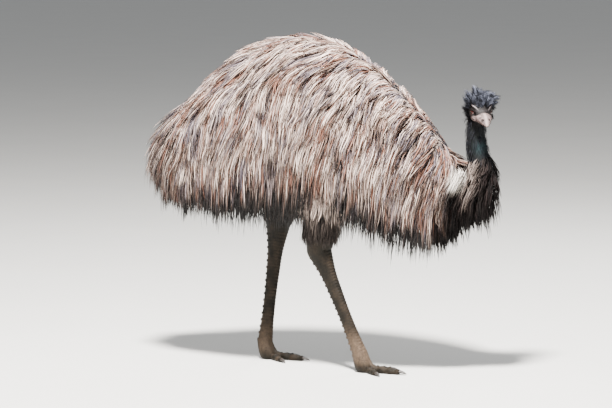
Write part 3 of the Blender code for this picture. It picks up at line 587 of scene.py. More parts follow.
def face_forms():
    """What grows out of the skull, the hollows in front of the eyes, and what is cut in last."""
    added, hollows, cut = [], [], []
    for _, sign, eye in each_side((0.0, EYE_INSET, EYE_LEVEL)):
        outward = Vector((math.sin(EYE_TOE_IN), sign * math.cos(EYE_TOE_IN), 0.0))
        added.append(lid(eye + outward * LID_OUT, sign))
        turn = Matrix.Rotation(-sign * math.radians(16), 4, "Z") @ Matrix.Rotation(math.radians(20), 4, "Y")
        added.append(ball("brow", Vector((0.004, sign * 0.0265, 0.0175)), (0.024, 0.0065, 0.0055), turn))
        added.append(ball("cheek", Vector((0.006, sign * 0.0240, -0.0200)), (0.028, 0.0100, 0.0095)))
        hollow = Vector((ORBIT[0], sign * ORBIT[1], EYE_LEVEL))
        hollows.append(ball("orbit", hollow, ORBIT_RADII, Matrix.Rotation(-sign * ORBIT_TURN, 4, "Z")))
        cut.append(ball("socket", eye, (EYE_RADIUS + 0.0002,) * 3))
    for _, sign, ear in each_side(EAR):
        added.append(ball("ear_rim", ear, (0.0085, 0.0045, 0.0075)))
        cut.append(ball("ear_hole", ear + Y * sign * 0.005, (0.0040, 0.0080, 0.0050)))
    for _, sign, nostril in each_side(NOSTRIL):
        added.append(ball("nostril_rim", nostril - Y * sign * 0.003 - Z * 0.003, (0.0095, 0.0045, 0.0046)))
        turn = Matrix.Rotation(math.radians(18), 4, "Y")
        cut.append(ball("nostril", nostril, (0.0066, 0.0048, 0.0036), turn))
    return added, hollows, cut


def head_skin():
    """Skull, brows, cheeks, lids and bill grown into one smooth form, with sockets and mouth cut in."""
    head = swept("head", [head_ring(x) for x in np.linspace(HEAD[0][0], HEAD[-1][0], 60)])
    added, hollows, cut = face_forms()
    boolean(head, added, "UNION")
    boolean(head, hollows, "DIFFERENCE")
    remesh = head.modifiers.new("even", "REMESH")
    remesh.mode = "VOXEL"
    remesh.voxel_size = form().head_fineness
    soften = head.modifiers.new("soften", "SMOOTH")
    soften.iterations = 9
    apply_modifiers(head)
    boolean(head, cut + [mouth_blade()], "DIFFERENCE")
    head.data.transform(head_place())
    return head


def points_of(mesh):
    """The places of a mesh's vertices, one row each."""
    places = np.empty(len(mesh.vertices) * 3)
    mesh.vertices.foreach_get("co", places)
    return places.reshape(-1, 3)


def in_head(points):
    """Points in the head's own frame."""
    matrix = np.array(head_place().inverted())
    return points @ matrix[:3, :3].T + matrix[:3, 3]


def drift(points, wave, seed):
    """Smooth random values between about -1 and 1, which change over a length."""
    dice = np.random.default_rng(seed)
    total = np.zeros(len(points))
    for _ in range(6):
        way = dice.normal(size=3)
        way *= 2 * math.pi / wave / np.linalg.norm(way) * dice.uniform(0.7, 1.4)
        total += np.sin(points @ way + dice.uniform(0, 2 * math.pi))
    return total / 3.0


def step(values, start, end):
    """0 before start, 1 after end, and smooth between them."""
    t = np.clip((values - start) / (end - start), 0.0, 1.0)
    return t * t * (3 - 2 * t)


def around(values, middle, spread):
    """1 at the middle, and falling off smoothly over the spread."""
    return np.exp(-((values - middle) / spread) ** 2)


def mix(a, b, share):
    """Colours between a and b, one row for each share."""
    share = np.asarray(share)[:, None]
    return a * (1 - share) + b * share


def body_marks(points):
    """Colours of trunk, back and neck, each with where it lies, from the lowest up."""
    x, y, z = points.T
    trunk = step(-x, -0.50, -0.44) * step(z, 0.52, 0.60)
    ridge = around(y, 0.0, 0.05) * step(z, 0.66, 0.74) * step(-x, -0.48, -0.44)
    up_neck = step(z, 0.66, 0.72) * step(x, 0.45, 0.50)
    bare = around(z, 0.740, 0.022) * around(x, 0.580, 0.020) * (y < 0.0)
    return [
        (colour("feather_brown") * 0.4, trunk),
        (colour("feather_pale") * 0.6, ridge),
        (colour("neck_skin"), up_neck),
        (colour("neck_teal"), up_neck * bare * 0.45),
    ]


def face_marks(points):
    """Colours of face and bill, each with where it lies in the head's own frame, from the lowest up."""
    local = in_head(points)
    x, side, z = local[:, 0], np.abs(local[:, 1]), local[:, 2]
    face = step(x, -0.075, -0.055) * step(z, -0.056, -0.046) * step(points[:, 2], 0.79, 0.81)
    # A painted highlight, 1 mm wide, along the top of the brow ridge
    brow = around(z, np.interp(side, *BROW_LINE), 0.0010) * step(side, 0.014, 0.021) * step(x, -0.012, 0.0)
    streaks = np.clip(drift(local * (0.3, 1.0, 0.3), 0.0035, 18), 0, 1)
    streaks *= step(x, 0.012, 0.030) * step(z, -0.006, 0.006)
    way = BILL_TIP - GAPE
    over_mouth = z - (GAPE.z + (x - GAPE.x) * way.z / way.x)
    bill = step(np.interp(x, *BILL_EDGE) - over_mouth, -0.0015, 0.0015)
    bill *= step(over_mouth, -0.0085, -0.0050) * step(x, -0.010, -0.002)
    bill = np.maximum(bill, step(x, 0.040, 0.050)) * face * (0.32 + 0.68 * step(x, 0.012, 0.048))
    mottle = 0.5 + 0.5 * np.clip(drift(local, 0.006, 17) + drift(local, 0.014, 19), -1, 1)
    # The bill's sides darker than its ridge: own mottling, and painted shade that leaves a painted highlight
    # along the culmen
    flank = step(side, 0.0024, 0.0062) * (0.42 + 0.45 * mottle) * step(x, -0.01, 0.01)
    # Painted shade along the mouth's line
    mouth = around(over_mouth, 0.0, 0.0018) * step(x, -0.004, 0.004)
    off_nostrils = [np.linalg.norm(local - np.array(place), axis=1) for _, _, place in each_side(NOSTRIL)]
    # Painted shade round the eye in its socket
    socket = step(-np.hypot(x, z - EYE_LEVEL), -0.0200, -0.0140)
    return [
        (colour("face_skin"), face),
        # Painted highlight on the brow ridge
        (colour("brow_highlight_and_streaks"), face * brow * 0.50),
        (colour("brow_highlight_and_streaks"), face * streaks * 0.03),
        (colour("bill"), bill),
        # Sides of the bill: own mottling and painted shade
        (colour("bill_dark_and_shade"), face * bill * np.clip(flank, 0, 0.8)),
        # Painted shade in the mouth's line
        (colour("bill_dark_and_shade"), face * mouth * 0.85),
        # Nostrils: painted shade in their holes
        *[(colour("under_skin"), face * np.exp(-(away / 0.0062) ** 4)) for away in off_nostrils],
        # Painted shade round the eye
        (colour("under_skin") * 0.4, face * socket * 0.85),
    ]


def leg_marks(points, legs):
    """Colours of the bare legs, each with where it lies, from the lowest up: worn scales at random, and a
    painted highlight low down, stronger on the right leg, which faces the lamps.
    """
    y, z = points[:, 1], points[:, 2]
    worn = np.clip(0.45 * drift(points, 0.035, 3) + 0.15, 0, 1) * 0.20
    # Painted highlight low on the shank and over the toes, stronger on the right leg, which faces the lamps
    low = step(-z, -0.17, -0.08) * step(z, 0.012, 0.05) * (0.25 + 0.35 * (y < 0.0))
    return [(colour("leg_dark"), legs), (colour("leg_worn_and_lit"), legs * np.clip(worn + low, 0, 0.9))]


def skin_marks(points):
    """Colour and scaliness of the skin, the same everywhere that a coat covers it."""
    tone = np.tile(colour("under_skin"), (len(points), 1))
    legs = step(-points[:, 2], -0.47, -0.42) * step(-points[:, 0], -0.42, -0.36)
    for mark, share in [*body_marks(points), *face_marks(points), *leg_marks(points, legs)]:
        tone = mix(tone, mark, share)
    return tone * (1.0 - 0.5 * legs * plate_seams(points))[:, None], legs


def plate_seams(points):
    """Where the seams between the plates of the two shanks run, from 0 to 1."""
    seams = np.zeros(len(points))
    for leg in LEGS.values():
        hock, ankle = np.array(leg["line"][2]), np.array(leg["line"][3])
        way = ankle - hock
        share = ((points - hock) @ way) / (way @ way)
        away = np.linalg.norm(points - hock - share[:, None] * way, axis=1)
        place = (share * form().scutes) % 1.0
        here = np.maximum(step(-place, -0.16, -0.02), step(place, 0.90, 1.0))
        seams = np.maximum(seams, here * (away < 0.06) * step(share, 0.0, 0.05) * step(-share, -1.0, -0.96))
    return seams


def paint(obj, tones, scaly=None):
    """Stores a colour, and a scaliness where it is given, at each of the object's vertices."""
    mesh = obj.data
    layer = mesh.color_attributes.new("marking", "FLOAT_COLOR", "POINT")
    layer.data.foreach_set("color", np.column_stack([tones, np.ones(len(tones))]).ravel())
    if scaly is not None:
        values = mesh.attributes.new("scaly", "FLOAT", "POINT")
        values.data.foreach_set("value", scaly)


def add_node(tree, kind, settings=None, links=None, values=None):
    """Adds a node, with its settings, the values of its inputs, and links from other nodes' outputs."""
    node = tree.nodes.new("ShaderNode" + kind)
    for key, value in (settings or {}).items():
        setattr(node, key, value)
    for key, value in (values or {}).items():
        node.inputs[key].default_value = value
    for key, output in (links or {}).items():
        tree.links.new(output, node.inputs[key])
    return node


def start_material(name, values):
    """A material with a Principled shader of these values, and the place on its piece."""
    made = bpy.data.materials.new(name)
    made.use_nodes = True
    tree = made.node_tree
    tree.nodes.clear()
    shader = add_node(tree, "BsdfPrincipled", values=values)
    add_node(tree, "OutputMaterial", links={"Surface": shader.outputs["BSDF"]})
    return made, tree, shader, add_node(tree, "TexCoord").outputs["Object"]


def clouded(tree, place, grain, detail, low, high):
    """A strength between low and high that changes over a grain, in metres."""
    cloud = add_node(tree, "TexNoise", None, {"Vector": place}, {"Scale": 1 / grain, "Detail": detail})
    made = add_node(tree, "MapRange", None, {"Value": cloud.outputs["Fac"]},
                    {"From Min": 0.3, "From Max": 0.7, "To Min": low, "To Max": high})
    return made.outputs["Result"]


def show_marking(tree, shader, strength):
    """Gives the shader the colour that is painted on its piece, times a strength."""
    marking = add_node(tree, "Attribute", {"attribute_name": "marking"}).outputs["Color"]
    toned = add_node(tree, "VectorMath", {"operation": "SCALE"}, {"Vector": marking, "Scale": strength})
    tree.links.new(toned.outputs["Vector"], shader.inputs["Base Color"])


def skin_material():
    """Bare skin and keratin scales: matt, with cells 5.5 mm wide that stand up on the legs.

    The pores are drawn 1.6 mm apart, coarser than real ones, so that they show.
    """
    made, tree, shader, place = start_material(
        "skin_and_keratin_scale", {"Roughness": 0.62, "Specular IOR Level": 0.14})
    scaly = add_node(tree, "Attribute", {"attribute_name": "scaly"}).outputs["Fac"]
    cells = add_node(
        tree, "TexVoronoi", {"feature": "DISTANCE_TO_EDGE"}, {"Vector": place}, {"Scale": 1 / 0.0055})
    edge = add_node(tree, "MapRange", {"interpolation_type": "SMOOTHSTEP"},
                    {"Value": cells.outputs["Distance"]}, {"From Max": 0.16, "To Min": 0.45, "To Max": 1.0})
    joint = add_node(tree, "Mix", {"data_type": "FLOAT"},
                     {"Factor": scaly, "B": edge.outputs["Result"]}, {"A": 1.0})
    strength = add_node(tree, "Math", {"operation": "MULTIPLY"},
                        {0: joint.outputs["Result"], 1: clouded(tree, place, 0.012, 6.0, 0.72, 1.22)})
    show_marking(tree, shader, strength.outputs["Value"])
    pores = add_node(tree, "TexNoise", None, {"Vector": place}, {"Scale": 1 / 0.0016, "Detail": 4.0})
    relief = add_node(tree, "Math", {"operation": "MULTIPLY_ADD"},
                      {0: pores.outputs["Fac"], 2: joint.outputs["Result"]}, {1: 0.25})
    bump = add_node(tree, "Bump", None, {"Height": relief.outputs["Value"]},
                    {"Strength": 0.7, "Distance": 0.0011})
    tree.links.new(bump.outputs["Normal"], shader.inputs["Normal"])
    return made


def feather_material(name, roughness, sheen, specular):
    """Loose, hair-like feather vanes: matt, with barbs that break their tone.

    The breaks are drawn 4 mm apart, coarser than real barbs, so that they show.
    """
    made, tree, shader, place = start_material(name, {
        "Roughness": roughness, "Specular IOR Level": specular,
        "Sheen Weight": sheen, "Sheen Roughness": 0.5})
    show_marking(tree, shader, clouded(tree, place, 0.004, 3.0, 0.78, 1.18))
    return made


def claw_material():
    """Polished claw horn with growth lines 1.5 mm apart: a wave of scale 1 has its bands 0.31 m apart."""
    made, tree, shader, place = start_material("claw_horn", {"Roughness": 0.35})
    lines = add_node(tree, "TexWave", {"bands_direction": "X"}, {"Vector": place},
                     {"Scale": 0.31 / 0.0015, "Distortion": 3.0, "Detail": 2.0})
    mixed = add_node(tree, "Mix", {"data_type": "RGBA"}, {"Factor": lines.outputs["Fac"]},
                     {"A": (*colour("claw") * 0.7, 1.0), "B": (*colour("claw") * 1.5, 1.0)})
    tree.links.new(mixed.outputs["Result"], shader.inputs["Base Color"])
    bump = add_node(tree, "Bump", None, {"Height": lines.outputs["Fac"]},
                    {"Strength": 0.25, "Distance": 0.0004})
    tree.links.new(bump.outputs["Normal"], shader.inputs["Normal"])
    return made


def eye_material():
    """Wet eye: the cornea's gloss over a fibrous iris, which is painted on the ball.

    The fibres are drawn 0.8 mm apart, coarser than real ones, so that they show.
    """
    made, tree, shader, place = start_material("wet_eye", {
        "Roughness": 0.06, "IOR": 1.376, "Coat Weight": 0.2, "Coat Roughness": 0.03})
    show_marking(tree, shader, clouded(tree, place, 0.0008, 3.0, 0.7, 1.3))
    return made


def floor_material():
    """Matt painted studio floor, with the faint unevenness of a rolled coat half a metre across."""
    made, tree, shader, place = start_material("painted_floor", {"Roughness": 0.85})
    cloud = add_node(tree, "TexNoise", None, {"Vector": place}, {"Scale": 1 / 0.5, "Detail": 4.0})
    tone = colour("floor")
    mixed = add_node(tree, "Mix", {"data_type": "RGBA"}, {"Factor": cloud.outputs["Fac"]},
                     {"A": (*tone * 0.97, 1.0), "B": (*tone * 1.03, 1.0)})
    tree.links.new(mixed.outputs["Result"], shader.inputs["Base Color"])
    return made


def finish(piece, material, nodes=()):
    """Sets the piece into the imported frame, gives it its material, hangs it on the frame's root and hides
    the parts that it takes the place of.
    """
    piece.data.transform(Matrix.Translation(SHIFT))
    piece.data.materials.clear()
    piece.data.materials.append(material)
    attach(piece, "root")
    if nodes:
        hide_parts(*nodes)


def surface_of(obj):
    """The object's surface, ready for nearest points."""
    bm = bmesh.new()
    bm.from_mesh(obj.data)
    tree = BVHTree.FromBMesh(bm)
    bm.free()
    return tree


def unit(vectors):
    """The vectors at length 1."""
    return vectors / np.maximum(np.linalg.norm(vectors, axis=-1, keepdims=True), 1e-9)


def closest(surface, points):
    """Nearest points of a surface and the outward directions there."""
    found = [surface.find_nearest(Vector(p)) for p in points]
    return np.array([f[0] for f in found]), np.array([f[1] for f in found])


def nearest(places, points):
    """The number of the place nearest to each point."""
    tree = KDTree(len(places))
    for k, place in enumerate(places):
        tree.insert(Vector(place), k)
    tree.balance()
    return np.array([tree.find(Vector(p))[1] for p in points])


def scatter(obj, count, dice, keep):
    """Random places on the object's surface, evenly thick, with their outward directions."""
    mesh = obj.data
    mesh.calc_loop_triangles()
    corners = np.empty(len(mesh.loop_triangles) * 3, int)
    mesh.loop_triangles.foreach_get("vertices", corners)
    triangles = points_of(mesh)[corners.reshape(-1, 3)]
    middles = triangles.mean(axis=1)
    out = np.cross(triangles[:, 1] - triangles[:, 0], triangles[:, 2] - triangles[:, 0])
    weights = np.linalg.norm(out, axis=1) * keep(middles, unit(out))
    chosen = dice.choice(len(triangles), size=count, p=weights / weights.sum())
    a, b = np.sqrt(dice.random(count)), dice.random(count)
    shares = np.stack([1 - a, a * (1 - b), a * b], axis=1)
    return (triangles[chosen] * shares[:, :, None]).sum(axis=1), unit(out[chosen])


def thinned(points, spacing):
    """Which of the points to keep so that none lies nearer to another than the spacing."""
    cells, kept = {}, []
    for k, point in enumerate(points):
        cell = tuple(int(c // spacing) for c in point)
        near = [cells.get((cell[0] + i, cell[1] + j, cell[2] + m), ())
                for i in (-1, 0, 1) for j in (-1, 0, 1) for m in (-1, 0, 1)]
        if all(np.linalg.norm(point - points[n]) > spacing for group in near for n in group):
            cells.setdefault(cell, []).append(k)
            kept.append(k)
    return np.array(kept)


def swayed(along, out, angle):
    """Directions turned about the outward ones by an angle each."""
    side = np.cross(out, along)
    return along * np.cos(angle)[:, None] + side * np.sin(angle)[:, None]


def laid_down(ways, out):
    """Directions along the skin, from ways that may point into or out of it."""
    return unit(ways - out * (ways * out).sum(axis=1, keepdims=True))


def hanging(pull, sway, seed):
    """The lie of feathers that a pull lays along the skin. They hang straight down where it turns under."""
    def lie(points, out):
        top = step(out[:, 2], 0.1, 0.85)
        ridge = around(points[:, 1], 0.0, PARTING) * step(out[:, 2], 0.3, 0.7)
        sideways = np.tanh(2 * points[:, 1] / PARTING) * pull[1] * (1.0 + ridge)
        whole = np.column_stack([pull[0] * (0.3 + 1.4 * top), sideways, pull[2] * (1.0 - 0.95 * ridge)])
        turn = sway * drift(points, 0.16, seed) + sway * drift(points, 0.05, seed + 1)
        along = swayed(laid_down(whole, out), out, turn)
        hold = np.clip((out[:, 2] + 0.45) / 0.45, 0.0, 1.0)[:, None]
        return unit(along * hold - np.array(Z) * (1.0 - hold))
    return lie


def guides(surface, roots, lie, reach, clearance=0.002):
    """Paths that lie over the surface from their roots, and the outward directions along them."""
    near, out = closest(surface, roots)
    here = near.copy()
    points, outs = [near], [out]
    for _ in range(GUIDE_STEPS):
        here = here + lie(here, out) * (reach / GUIDE_STEPS)[:, None]
        near, facing = closest(surface, here)
        depth = ((here - near) * facing).sum(axis=1)
        here = here + facing * np.maximum(0.0, clearance - depth)[:, None]
        out = unit(out + facing)
        points.append(here)
        outs.append(out)
    return np.stack(points, axis=1), np.stack(outs, axis=1)


def follow(table, numbers, places):
    """Values at places along the chosen guides, between their steps."""
    low = np.clip(np.floor(places).astype(int), 0, GUIDE_STEPS - 1)
    share = (places - low)[..., None]
    rows = numbers[:, None]
    return table[rows, low] * (1 - share) + table[rows, low + 1] * share


def unwrap(points, axis):
    """Where points lie round a bent axis: share of its length, and share of the turn about it."""
    axis = np.asarray(axis, float)
    numbers = nearest(axis, points)
    ways = unit(np.gradient(axis, axis=0))
    along, off = ways[numbers], points - axis[numbers]
    side = unit(np.cross(along, np.array((0.0, 1.0, 0.001))))
    other = np.cross(along, side)
    fine = (off * along).sum(axis=1) / np.linalg.norm(np.diff(axis, axis=0), axis=1).mean()
    share = np.clip((numbers + np.clip(fine, -0.5, 0.5)) / (len(axis) - 1), 0.0, 1.0)
    turn = np.arctan2((off * other).sum(axis=1), (off * side).sum(axis=1)) / (2 * math.pi) + 0.5
    return np.column_stack([share, turn]) * 0.99 + 0.005


def strands(roots, out, locks, sizes, dice):
    """The middle line of each feather, and the ways along and across it."""
    paths, outs, lift = locks
    reach, _, _, rise, gather, stray = [size[:, None] for size in sizes]
    numbers = nearest(paths[:, 0], roots)
    t = TUFT_STATIONS[None, :]
    places = t * reach * GUIDE_STEPS
    facing = unit(follow(outs, numbers, places))
    close = 1.0 - gather * t ** 1.4
    centre = follow(paths, numbers, places) + (roots - paths[numbers, 0])[:, None, :] * close[..., None]
    centre = centre + facing * (lift[numbers][:, None] * rise * (t * reach) ** 0.8)[..., None]
    centre[:, 0] -= out * TUFT_ROOT_SINK
    along = unit(np.gradient(centre, axis=1))
    across = unit(np.cross(along, facing))
    phase = dice.uniform(0, 2 * math.pi, len(roots))[:, None]
    wave = stray * t * (np.sin(phase + 3.0 * t) - np.sin(phase) * (1 - t))
    return centre + across * wave[..., None], along, across


def feather_corners(centre, along, across, sizes, dice):
    """The corners of each feather: three round each station but the last, and one at its tip."""
    count = len(TUFT_WIDTHS)
    roll = dice.normal(0.0, TUFT_ROLL, len(centre))[:, None, None]
    up = np.cross(across, along)
    across, up = across * np.cos(roll) + up * np.sin(roll), up * np.cos(roll) - across * np.sin(roll)
    side = across[:, :count] * (sizes[1][:, None] / 2 * TUFT_WIDTHS)[..., None]
    ridge = up[:, :count] * (sizes[2][:, None] * TUFT_WIDTHS)[..., None]
    body = centre[:, :count]
    section = np.stack([body - side, body + ridge, body + side], axis=2)
    return np.concatenate([section.reshape(len(centre), -1, 3), centre[:, -1:]], axis=1)


def feather_faces(count):
    """The faces of one feather with that many stations before its tip, as numbers of its corners."""
    sides = ((0, 1), (1, 2), (2, 0))
    walls = [(3 * k + a, 3 * k + 3 + a, 3 * k + 3 + b, 3 * k + b) for k in range(count - 1) for a, b in sides]
    return [(0, 1, 2), *walls, *[(3 * count - 3 + a, 3 * count, 3 * count - 3 + b) for a, b in sides]]


def map_for_baking(mesh, roots, axis, stations):
    """Gives each feather a patch of the UV map OFBake, at the place of its root on the body."""
    sides = np.concatenate([np.tile((-0.5, 0.0, 0.5), len(TUFT_WIDTHS)), [0.0]])
    patch = np.stack([sides, TUFT_STATIONS[stations] - 0.5], axis=1) * BAKE_PATCH
    spots = np.clip(unwrap(roots, axis)[:, None, :] + patch[None], 0.0, 1.0).reshape(-1, 2)
    corners = np.empty(len(mesh.loops), int)
    mesh.loops.foreach_get("vertex_index", corners)
    mesh.uv_layers.new(name="OFBake").data.foreach_set("uv", spots[corners].ravel())


def grow(name, roots, out, locks, sizes, axis, tones, dice):
    """A piece of coat: flat, three-sided feathers in locks that follow their guides, as one joined mesh.

    locks holds the guides' points, their outward directions and how far their tips stand off. sizes holds
    each feather's share of its guide's length, its width, depth, share of the lift, how far it gathers into
    its lock, and how far it strays sideways. tones gives each feather's colours along it.
    """
    centre, along, across = strands(roots, out, locks, sizes, dice)
    tones = marked(tones, centre, dice)
    corners = feather_corners(centre, along, across, sizes, dice)
    count, each = len(TUFT_WIDTHS), corners.shape[1]
    pattern = feather_faces(count)
    firsts = range(0, len(roots) * each, each)
    faces = [tuple(first + n for n in face) for first in firsts for face in pattern]
    mesh = bpy.data.meshes.new(name)
    mesh.from_pydata(corners.reshape(-1, 3).tolist(), [], faces)
    obj = linked(name, mesh)
    stations = np.concatenate([np.repeat(np.arange(count), 3), [count]])
    paint(obj, tones[:, stations].reshape(-1, 3))
    map_for_baking(mesh, roots, axis, stations)
    return obj


def body_axis():
    """The middle line of tail, trunk and neck, evenly spaced."""
    line = []
    for x in np.linspace(TRUNK[0][0], TRUNK[-1][0], 60):
        back, belly, _ = smooth(TRUNK, x)
        line.append((x, 0.0, belly + WAIST * (back - belly)))
    return line + [tuple(neck_frame(s)[0]) for s in np.linspace(0.04, 1.0, 24)]


def fringe_at(x):
    """How high over the floor the fringe hangs."""
    return np.interp(x, *zip(*FRINGE))


def shorten_to_fringe(paths, outs, reach, dice):
    """Each guide's length, cut so that its tip ends at the fringe, or above it on the flank."""
    tips, roots = paths[:, -1], paths[:, 0]
    above = 0.022 * step(outs[:, 0, 2], -0.3, 0.1)
    lowest = fringe_at(tips[:, 0]) + above + dice.normal(0.0, 0.014, len(tips))
    share = (roots[:, 2] - lowest) / np.maximum(roots[:, 2] - tips[:, 2], 1e-4)
    return np.where(tips[:, 2] < lowest, np.clip(share, 0.12, 1.0), 1.0) * reach


def marked(tones, places, dice):
    """The colours with the pale patch beside the root of the neck, and with the dark hem of the coat: partly
    the feathers' own dark tips, partly painted shade low under the body.
    """
    x, y, z = np.moveaxis(places, -1, 0)
    spot = around(x, PATCH.x, PATCH_SIZE.x) * around(z, PATCH.z, PATCH_SIZE.z)
    spot = spot * step(np.abs(y), 0.02, 0.05) * dice.normal(1.0, 0.25, len(places))[:, None]
    share = step(spot, 0.25, 0.70)[..., None]
    tones = tones * (1 - share) + colour("neck_pale") * share
    over = z - fringe_at(x) + dice.normal(0.0, 0.022, len(places))[:, None]
    # Hem: own dark tips and painted shade
    hem = 0.75 * step(-over, -HEM, 0.010)[..., None]
    return tones * (1 - hem) + colour("ruff_black") * hem


def wisps(obj, roots, dice, keep):
    """A random tone and a random hue for each feather, shared by those that grow close together."""
    count = max(2, len(roots) // FEATHERS_IN_WISP)
    near = nearest(scatter(obj, count, dice, keep)[0], roots)
    return dice.normal(0.0, 1.0, count)[near], dice.random(count)[near]


def lock_shades(starts, roots, spacing, dice):
    """How much paler each feather is than the rest: the middles of locks are pale, and their borders dark with
    painted shade in the grooves between locks.
    """
    numbers = nearest(starts, roots)
    border = np.linalg.norm(starts[numbers] - roots, axis=1) / spacing
    return 0.22 * dice.normal(0.0, 1.0, len(starts))[numbers] + 0.28 - 0.65 * np.clip(border, 0, 1)


def plumage_level(roots, out, tone, rise, dice):
    """How pale the middle of each feather is, from dark at 0 through brown at 0.5 to pale at 1."""
    x, _, z = roots.T
    # Feathers that lie low, under the others, are darker: painted shade
    level = dice.normal(0.64, 0.32, len(roots)) + 0.36 * tone + 0.25 * (rise - 0.6)
    belly = step(-z, -0.66, -0.54)
    shoulder = step(x, 0.24, 0.40) * step(z, 0.66, 0.74)
    rear = step(-x, 0.28, 0.42)
    beside_neck = around(x, 0.445, 0.045) * around(z, 0.735, 0.060)
    under = step(-out[:, 2], 0.05, 0.45)
    # Belly and underside are darker: partly their own dark colour, partly painted shade under the trunk
    return level - 0.34 * belly - 0.10 * shoulder - 0.20 * rear - 0.5 * beside_neck - 0.9 * under


def plumage_tones(roots, out, wisp, rise, dice, shade=0.0):
    """Colours along each feather of the trunk: a root darkened with painted shade where it lies under other
    feathers, a pale middle and often a dark tip.
    """
    count = len(roots)
    tone, hue = wisp
    level = plumage_level(roots, out, tone, rise, dice) + shade
    under = step(-out[:, 2], 0.05, 0.45)
    middle = mix(colour("feather_dark"), colour("feather_brown"), np.clip(level * 2.0, 0, 1))
    middle = mix(middle, colour("feather_pale"), np.clip(level * 2.0 - 1.0, 0, 1))
    for name, chosen in (("feather_rust", hue < 0.22), ("feather_grey", hue > 0.74)):
        middle = mix(middle, colour(name), chosen * dice.uniform(0.3, 0.9, count) * (1.0 - under))
    # The underside goes near black: partly its own colour, partly painted shade
    middle = mix(middle, colour("ruff_black"), under * 0.85)
    dark = mix(colour("feather_dark"), colour("ruff_black"), under)
    # Painted shade on the roots, less of it along the back's ridge, where they are not covered
    root = 0.7 - 0.55 * around(roots[:, 1], 0.0, 0.10) * step(out[:, 2], 0.1, 0.4)
    late = np.clip(dice.normal(0.25, 0.32, count), 0, 0.9)
    tip = np.clip(dice.normal(0.75, 0.30, count), 0, 1)
    shares = (root, np.full(count, 0.25), np.zeros(count), late, tip)
    return np.stack([mix(middle, dark, share) for share in shares], axis=1)


def dark_tones(roots, low, high, dice, pale=0.0, pale_colour="feather_brown"):
    """Colours along hair-like feathers between two dark ones, with a share of a paler one."""
    count = len(roots)
    share = np.clip(0.25 + 0.25 * drift(roots, 0.03, 9) + dice.normal(0.0, 0.25, count), 0, 1)
    middle = mix(colour(low), colour(high), share)
    middle = mix(middle, colour(pale_colour), np.clip(np.asarray(pale) * dice.uniform(0.3, 1.3, count), 0, 1))
    root = mix(middle, colour(low), np.full(count, 0.6))
    tip = mix(middle, colour(low), np.clip(dice.normal(0.3, 0.3, count), 0, 1))
    return np.stack([root, middle, middle, middle, tip], axis=1)


def feather_sizes(count, dice, width, depth, gather=(0.15, 0.95), stray=0.008):
    """Each feather's length, width, depth, rise, gathering and stray."""
    return (
        dice.uniform(0.50, 1.0, count), width * dice.uniform(0.6, 1.35, count),
        depth * dice.uniform(0.7, 1.2, count), dice.beta(2.2, 1.3, count), dice.uniform(*gather, count),
        dice.normal(0.0, stray, count))


def locks_over(obj, dice, keep, length_of, lie, tries, spacing, clearance=0.002, fringed=False):
    """Where the locks of a coat start, how long they are, and their guides.

    The starts are what is left of the tries when none lies nearer to another than the spacing.
    """
    surface = surface_of(obj)
    starts = scatter(obj, tries, dice, keep)[0]
    starts = starts[thinned(starts, spacing)]
    reach = length_of(starts)
    paths, outs = guides(surface, starts, lie, reach, clearance)
    if fringed:
        reach = shorten_to_fringe(paths, outs, reach, dice)
        paths, outs = guides(surface, starts, lie, reach, clearance)
    return starts, reach, paths, outs


def body_plumage(name, body, count, dice, keep, starts, locks, strength=1.0):
    """A piece of the coat of trunk or rump, grown along its locks."""
    sizes = coat_sizes()
    roots, out = scatter(body, count, dice, keep)
    feathers = feather_sizes(count, dice, sizes.feather_width, VANE_DEPTH)
    wisp = wisps(body, roots, dice, keep)
    shade = lock_shades(starts, roots, sizes.lock_spacing, dice)
    tones = plumage_tones(roots, out, wisp, feathers[3], dice, shade) * strength
    return grow(name, roots, out, locks, feathers, body_axis(), tones, dice)


# Pieces of the trunk's coat: name, seed, side (1 left, -1 right), where it starts and ends along the body, and
# which way its feathers are pulled.
TRUNK_PIECES = (
    ("coat_rear_right", 31, -1, -0.42, -0.13, (-0.60, 0.45, -1.0)),
    ("coat_rear_left", 32, 1, -0.42, -0.13, (-0.60, 0.45, -1.0)),
    ("coat_middle_right", 33, -1, -0.13, 0.15, (-0.55, 0.45, -1.0)),
    ("coat_middle_left", 34, 1, -0.13, 0.15, (-0.55, 0.45, -1.0)),
    ("coat_front_right", 35, -1, 0.15, 0.46, (-0.50, 0.45, -1.0)),
    ("coat_front_left", 36, 1, 0.15, 0.46, (-0.50, 0.45, -1.0)),
)


def trunk_coat(body, piece, count):
    """One piece of the trunk's coat, from the parting down to the fringe."""
    name, seed, side, start, end, pull = piece
    sizes = coat_sizes()
    dice = np.random.default_rng(seed)

    def keep(middles, out):
        inside = (middles[:, 0] > start) & (middles[:, 0] < end) & (middles[:, 1] * side >= 0.0)
        ridge = around(middles[:, 1], 0.0, 0.04) * step(out[:, 2], 0.2, 0.5)
        return inside * (0.35 + 0.65 * step(out[:, 2], -0.95, -0.4) + 2.4 * ridge)

    def length_of(starts):
        return sizes.feather_length * dice.uniform(0.85, 1.2, len(starts))

    lie = hanging(pull, 0.22, 5)
    starts, reach, paths, outs = locks_over(
        body, dice, keep, length_of, lie, tries=9000, spacing=sizes.lock_spacing, fringed=True)
    ridge = around(starts[:, 1], 0.0, 0.05) * step(outs[:, 0, 2], 0.3, 0.6)
    lift = sizes.lift * (1.0 - 0.65 * ridge) * np.clip(reach / sizes.feather_length, 0.3, 1.0)
    return body_plumage(name, body, count, dice, keep, starts, (paths, outs, lift))


